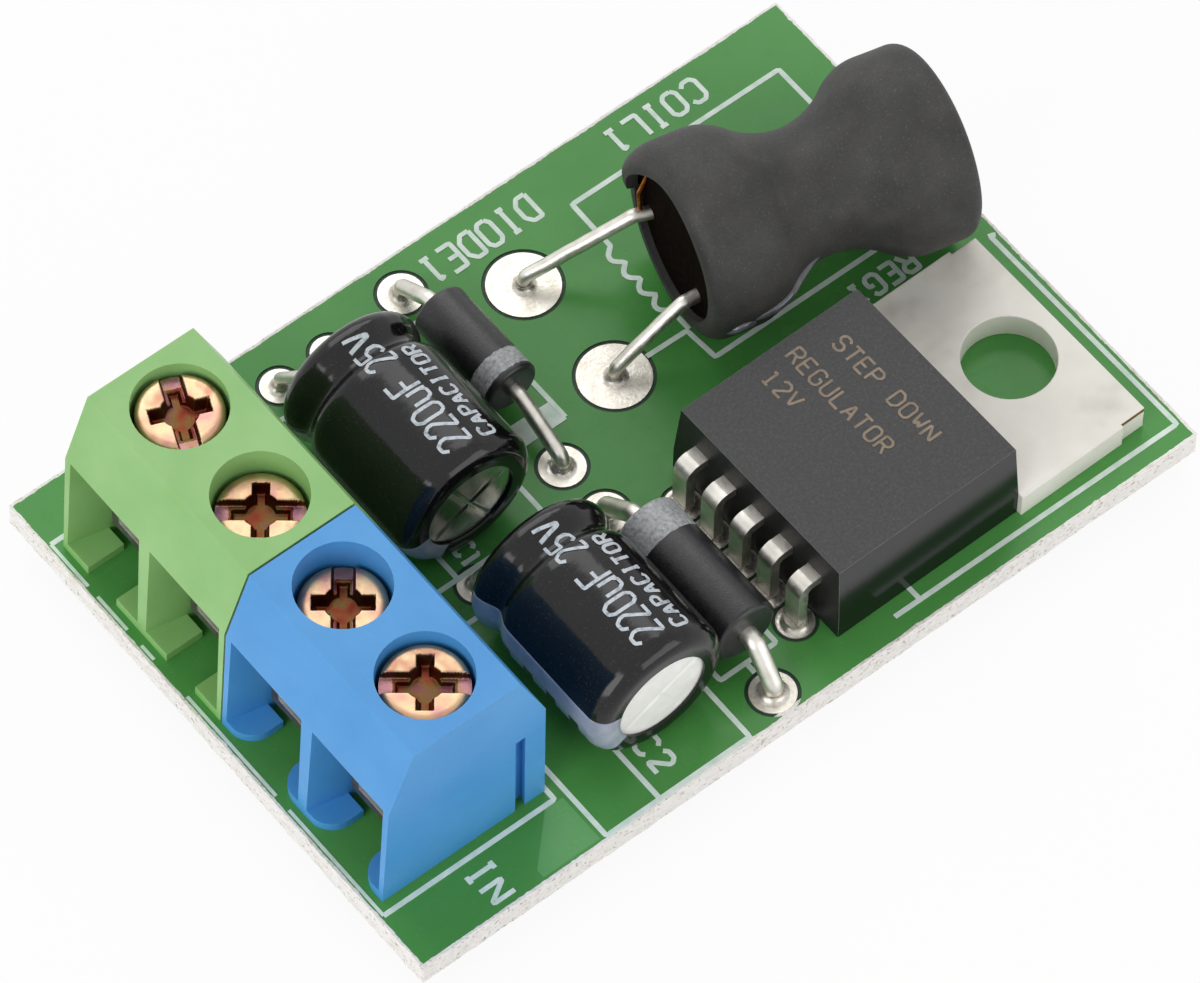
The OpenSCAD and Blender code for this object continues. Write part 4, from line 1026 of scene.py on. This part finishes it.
def sleeve_outline(inset):
    """Half outline of the tube's skin, drawn in from its outside."""
    waist, rim, end = WAIST_R - inset, SLEEVE_R - inset, SLEEVE_END - inset
    inner, outer, rounded = WAIST_BEND + inset, SHOULDER_BEND - inset, SLEEVE_ROUND - inset
    both, fall = inner + outer, rim - waist
    reach = math.sqrt(both * both - (both - fall) ** 2)
    sweep = math.degrees(math.acos((both - fall) / both))
    points = arc((rim - rounded, -end + rounded), rounded, -90, 0, 10)
    points += [(rim, -end + rounded + (end - rounded - reach) * t) for t in (0.35, 0.7)]
    points += arc((rim - outer, -reach), outer, 0, sweep, 12)
    points += arc((waist + inner, 0), inner, 180 + sweep, 180 - sweep, 24)[1:-1]
    points += arc((rim - outer, reach), outer, -sweep, 0, 12)
    points += [(rim, reach + (end - rounded - reach) * t) for t in (0.3, 0.65)]
    return points + arc((rim - rounded, end - rounded), rounded, 0, 90, 10)


def on_choke(radius, along, angle):
    across, lift = radius * math.cos(angle), radius * math.sin(angle)
    return (CHOKE_AT.x + along * math.cos(CHOKE_TURN) - across * math.sin(CHOKE_TURN),
            CHOKE_AT.y + along * math.sin(CHOKE_TURN) + across * math.cos(CHOKE_TURN), CHOKE_AT.z + lift)


def lumps(radius, along, angle):
    """A slow swell of the skin, none of it underneath, and a tear in the lip by one lead."""
    spot = Vector((along * 0.4, radius * math.cos(angle) * 0.4, radius * math.sin(angle) * 0.4))
    under = max(0.0, -math.sin(angle) - 0.8) * 5.0
    out = 0.06 * (noise.noise(spot + Vector((4.2, 1.7, 0.0))) - 0.3) * (1.0 - under)
    torn = math.exp(-((angle - LIP_AT) / 0.6) ** 2) * max(0.0, -along - SLEEVE_END + 0.5) * 2.0
    return out, -0.45 * torn


def fold_path(start, stop, degrees):
    """A line on the tube along its axis, sunk so that only a low ridge stands out."""
    radii, places = np.asarray(sorted(sleeve_outline(0.0), key=lambda point: point[1])).T
    points = []
    for share in np.linspace(0.0, 1.0, 13):
        along = start + (stop - start) * share
        sunk = 0.02 + 0.2 * abs(2 * share - 1) ** 3
        turn = math.radians(degrees - 5 * math.sin(math.pi * share))
        points.append(on_choke(np.interp(along, places, radii) - sunk, along, turn))
    return points


mouth = SLEEVE_R - SLEEVE_ROUND - SLEEVE_LIP
skin = [(mouth, -SLEEVE_END)] + sleeve_outline(0.0) + [(mouth, SLEEVE_END)]
lining = [(mouth, SLEEVE_END - SLEEVE_T)] + sleeve_outline(SLEEVE_T)[::-1] + [(mouth, SLEEVE_T - SLEEVE_END)]
sleeve = spun(skin + lining, on_choke, shrunk_sleeve, 160, dent=lumps, ring=True, sharp=50)
piece("choke_tube", sleeve, "shrunk_sleeve", "choke_sleeve")
piece("choke_core", smooth_copy("choke_drum", ferrite), "ferrite", "choke_drum")
piece("choke_turns", smooth_copy("choke_winding", enamelled_copper), "enamelled_copper", "choke_winding")
for number, (start, stop, degrees, size) in enumerate(FOLDS, 1):
    fold = grown([fold_path(start, stop, degrees)], wire_along_path, sleeve_fold_highlight,
                 Radius=size, Bend=0.1, Dent=0.08, Step=0.08)
    piece(f"tube_fold_{number}", fold, "shrunk_sleeve")
print("choke tube:", len(sleeve.polygons), "faces and", len(FOLDS), "folds")

# %% [markdown]
# Wires follow paths with round bends. The points repeat the routes of the CAD
# leads: out of the part, down towards the board, and through their holes to the
# trimmed tips. The choke's own wires were dipped in solder and are the lumpiest.
# A strand of its winding shows at the mouth of the tube.

# %% Leads
CHOKE_EXITS = ((2.35, -0.95), (-1.75, -1.25))
DIODE_X = -1.2
TURN_Z = BOARD_TOP + 0.55
CAP_Z = BOARD_TOP + 3.23
STRAND = ((2.45, -0.85, -6.0), (2.72, 0.1, -5.95), (2.9, 0.9, -5.5))


def choke_route(number, pad):
    across, lift = CHOKE_EXITS[number]
    exit_at, foot = Vector(on_choke(across, -DRUM_HALF, 0.0)[:2]), Vector(PADS[pad][:2])
    way, high = (foot - exit_at).normalized(), CHOKE_AT.z + lift
    inside, first = exit_at - way * 0.85, exit_at + way * 0.7
    return [(*inside, high), (*first, high), (*foot, TURN_Z), (*foot, 0.0)]


def straight_route(x, end, foot, high, inside):
    """Out of a lying part's end along Y, then down to its foot."""
    side = 1 if foot > end else -1
    return [(x, end - side * inside, high), (x, end + side * 0.5, high), (x, foot, TURN_Z), (x, foot, 0.0)]


def diode_route(middle, lift, length, foot):
    end = middle + (length if foot > middle else -length) / 2
    return straight_route(DIODE_X, end, foot, BOARD_TOP + lift, 0.8)


LEADS = [("choke_lead_1", choke_route(0, "choke_out"), 0.29, 0.45, 0.06),
         ("choke_lead_2", choke_route(1, "choke_in"), 0.29, 0.45, 0.06),
         ("output_diode_anode_lead", diode_route(6.65, 1.8, 4.8, 11.35), 0.33, 0.5, 0.03),
         ("output_diode_cathode_lead", diode_route(6.65, 1.8, 4.8, 1.15), 0.33, 0.5, 0.03),
         ("input_diode_cathode_lead", diode_route(-7.0, 2.2, 6.3, -1.55), 0.4, 0.5, 0.03),
         ("input_diode_anode_lead", diode_route(-7.0, 2.2, 6.3, -11.85), 0.4, 0.5, 0.03)]
for tone, end, foot in (("output", 8.4, 10.9), ("input", -2.8, -1.05)):
    for node_name in (f"{tone}_capacitor_lead_1", f"{tone}_capacitor_lead_2"):
        low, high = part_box(node_name)
        LEADS.append((node_name, straight_route((low.x + high.x) / 2 / MM, end, foot, CAP_Z, 1.2),
                      0.25, 0.5, 0.02))
for node_name, route, radius, bend, dent in LEADS:
    wire = grown([route], wire_along_path, tinned_lead, Radius=radius, Bend=bend, Dent=dent, Step=0.06)
    piece(node_name.replace("lead", "wire"), wire, "tinned_copper", node_name)
strand = [on_choke(math.hypot(across, lift), along, math.atan2(lift, across))
          for across, lift, along in STRAND]
wire = grown([strand], wire_along_path, enamelled_copper, Radius=0.1, Bend=0.3, Dent=0.01, Step=0.06)
piece("choke_strand", wire, "enamelled_copper")
print("leads:", len(LEADS), "and one bare strand")

# %% [markdown]
# The diodes keep their CAD bodies. Their silver bands are a matter of colour, so
# the band is in the material, with a slightly ragged edge as printed bands have.

# %% Diodes
for tone, finish in (("output", output_diode_epoxy), ("input", input_diode_epoxy)):
    piece(f"{tone}_diode_body", smooth_copy(f"{tone}_diode", finish), "moulded_epoxy", f"{tone}_diode")
print("diodes: 2")

# %% [markdown]
# A lying capacitor is an aluminium can in a black film. The film is spun with a
# rolled bead near the lead end and fine shrink ripples, the can's bare end has a
# scored cross that is real relief, and a grey stripe with dashes marks the
# negative side. The printed rating is plain, and is bent round the can.

# %% Capacitor shapes
FILM_R, FILM_HALF, FILM_ROUND = 3.21, 4.08, 0.73
BEAD_AT, BEAD_D, BEAD_W = 2.45, 0.36, 0.5
BARE_R, BUNG_R, FILM_T = 2.05, 2.55, 0.1
CAN_END, CAN_RINGS = -3.95, 26
SCORE_W, SCORE_D, SCORE_TURN = 0.09, 0.06, 0.5
CAN_WALL = [(2.48, CAN_END), (2.9, -3.77), (3.05, -3.35), (3.05, 1.3), (2.7, 2.0), (2.66, 2.45), (2.7, 2.9),
            (3.0, 3.4), (2.7, 3.9), (2.56, 3.94), (2.56, 2.74), (0.0, 2.74)]
CAN_OUTLINE = [(0.0, CAN_END + SCORE_D)] + [
    (BARE_R * 1.1 * i / CAN_RINGS, CAN_END) for i in range(1, CAN_RINGS + 1)] + CAN_WALL
CAPACITORS = {"output": (-6.345, 4.45, can_metal), "input": (-5.898, -6.75, can_matt)}


def beaded(radius, along):
    """The radius of the film, drawn in at its bead."""
    return radius - BEAD_D * math.exp(-((along - BEAD_AT) / BEAD_W) ** 2)


def film_outline(inset):
    """Half outline of the film from its bare end to its lead end."""
    radius, half, rounded = FILM_R - inset, FILM_HALF - inset, FILM_ROUND - inset
    points = [(BARE_R, -half), ((BARE_R + radius - rounded) / 2, -half)]
    points += arc((radius - rounded, -half + rounded), rounded, -90, 0, 10)
    for along in np.linspace(-half + rounded, half - rounded, 71)[1:-1]:
        points.append((beaded(radius, along), along))
    points += arc((radius - rounded, half - rounded), rounded, 0, 90, 10)
    return points + [(BUNG_R + 0.01, half)]


def ripples(radius, along, angle):
    if radius < BARE_R + 0.3:
        return 0.0, 0.0
    slow = noise.noise(Vector((math.cos(angle) * 1.6, math.sin(angle) * 1.6, along * 0.5)))
    ends = math.exp(-((along + 3.5) / 0.5) ** 2) + math.exp(-((along - 3.3) / 0.5) ** 2)
    quick = noise.noise(Vector((math.cos(angle) * 7, math.sin(angle) * 7, along * 1.2 + 9.0)))
    return -0.012 - 0.012 * slow - 0.022 * ends * (quick + 0.5), 0.0


def scored(radius, along, angle):
    """The cross that is pressed into the can's bare end."""
    if radius >= BARE_R * 0.9:
        return 0.0, 0.0
    a, b = radius * math.cos(angle - SCORE_TURN), radius * math.sin(angle - SCORE_TURN)
    return 0.0, SCORE_D * math.exp(-(min(abs(a), abs(b)) / SCORE_W) ** 2)


def on_can(x, y):
    """Maps a spun point to a can that lies along Y. Angle 0 looks to +X and a quarter turn up."""
    def place(radius, along, angle):
        return (x + radius * math.cos(angle), y + along, CAP_Z + radius * math.sin(angle))
    return place


print("film outline:", len(film_outline(0.0)), "points")

# %% [markdown]
# The print on a can is drawn flat first, with the ribbon tree, and then bent: its
# second direction becomes an angle round the can, and its height a small step
# out from the film. The dashes in the grey stripe go the same way.

# %% Capacitor pieces
STRIPES = {"output": (190, 238), "input": (166, 214)}
PRINT_LIFT = 0.004
PRINT_AT = math.radians(86)
DASH_L, DASH_STARTS, DASH_LIFT = 0.55, (-2.9, -1.5, -0.1, 1.3), 0.014
LEVEL = (1, 0), (0, 1)
RATING = (word("220uF", (-3.2, -0.5), *LEVEL, 1.3, 0.64) + word("25V", (1.4, -0.5), *LEVEL, 1.3, 0.54)
          + word("CAPACITOR", (-3.3, -1.72), *LEVEL, 0.75, 0.8))
DASHES = [[(start, 0.0, DASH_LIFT), (start + DASH_L, 0.0, DASH_LIFT)] for start in DASH_STARTS]


def bent_round(mesh, place, middle):
    """Bends a flat print (along, across, up) round a can, with its middle line at an angle."""
    for vertex in mesh.vertices:
        along, across, lift = vertex.co / MM
        angle, base = middle + across / FILM_R, beaded(FILM_R, along)
        radius = base + ripples(base, along, angle)[0] + PRINT_LIFT + lift
        vertex.co = Vector(place(radius, along, angle)) * MM
    mesh.update()
    return mesh


for tone, (x, y, can_finish) in CAPACITORS.items():
    place, part = on_can(x, y), f"{tone}_capacitor"
    outline = film_outline(0.0) + film_outline(FILM_T)[::-1]
    film = spun(outline, place, film_black, 160, dent=ripples, ring=True, sharp=50)
    piece(f"{tone}_film", film, "capacitor_sleeve", f"{part}_sleeve")
    can = spun(CAN_OUTLINE, place, can_finish, 96, dent=scored, sharp=40)
    piece(f"{tone}_can", can, "can_aluminium", f"{part}_can")
    piece(f"{tone}_bung", smooth_copy(f"{part}_bung", bung_rubber), "bung_rubber", f"{part}_bung")
    rating = grown(layered(RATING, 0.006), ribbon_along_path, film_print,
                   Width=0.15, Thickness=0.01, Corner=0.05, Step=0.06)
    piece(f"{tone}_rating", bent_round(rating, place, PRINT_AT), "capacitor_sleeve")
    stripe = tuple(math.radians(angle) for angle in STRIPES[tone])
    band = film_outline(-0.006)[:-8] + film_outline(0.01)[:-8][::-1]
    piece(f"{tone}_stripe", spun(band, place, film_grey, 24, stripe, ripples, ring=True), "capacitor_sleeve")
    dashes = grown(DASHES, ribbon_along_path, film_black, Width=0.5, Thickness=0.01, Corner=0.05, Step=0.1)
    piece(f"{tone}_dashes", bent_round(dashes, place, sum(stripe) / 2), "capacitor_sleeve")
print("capacitors:", len(CAPACITORS))

# %% Visual size
visual_box = [list(corner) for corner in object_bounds()]
print("visual box, mm:", [[round(value / MM, 2) for value in corner] for corner in visual_box])
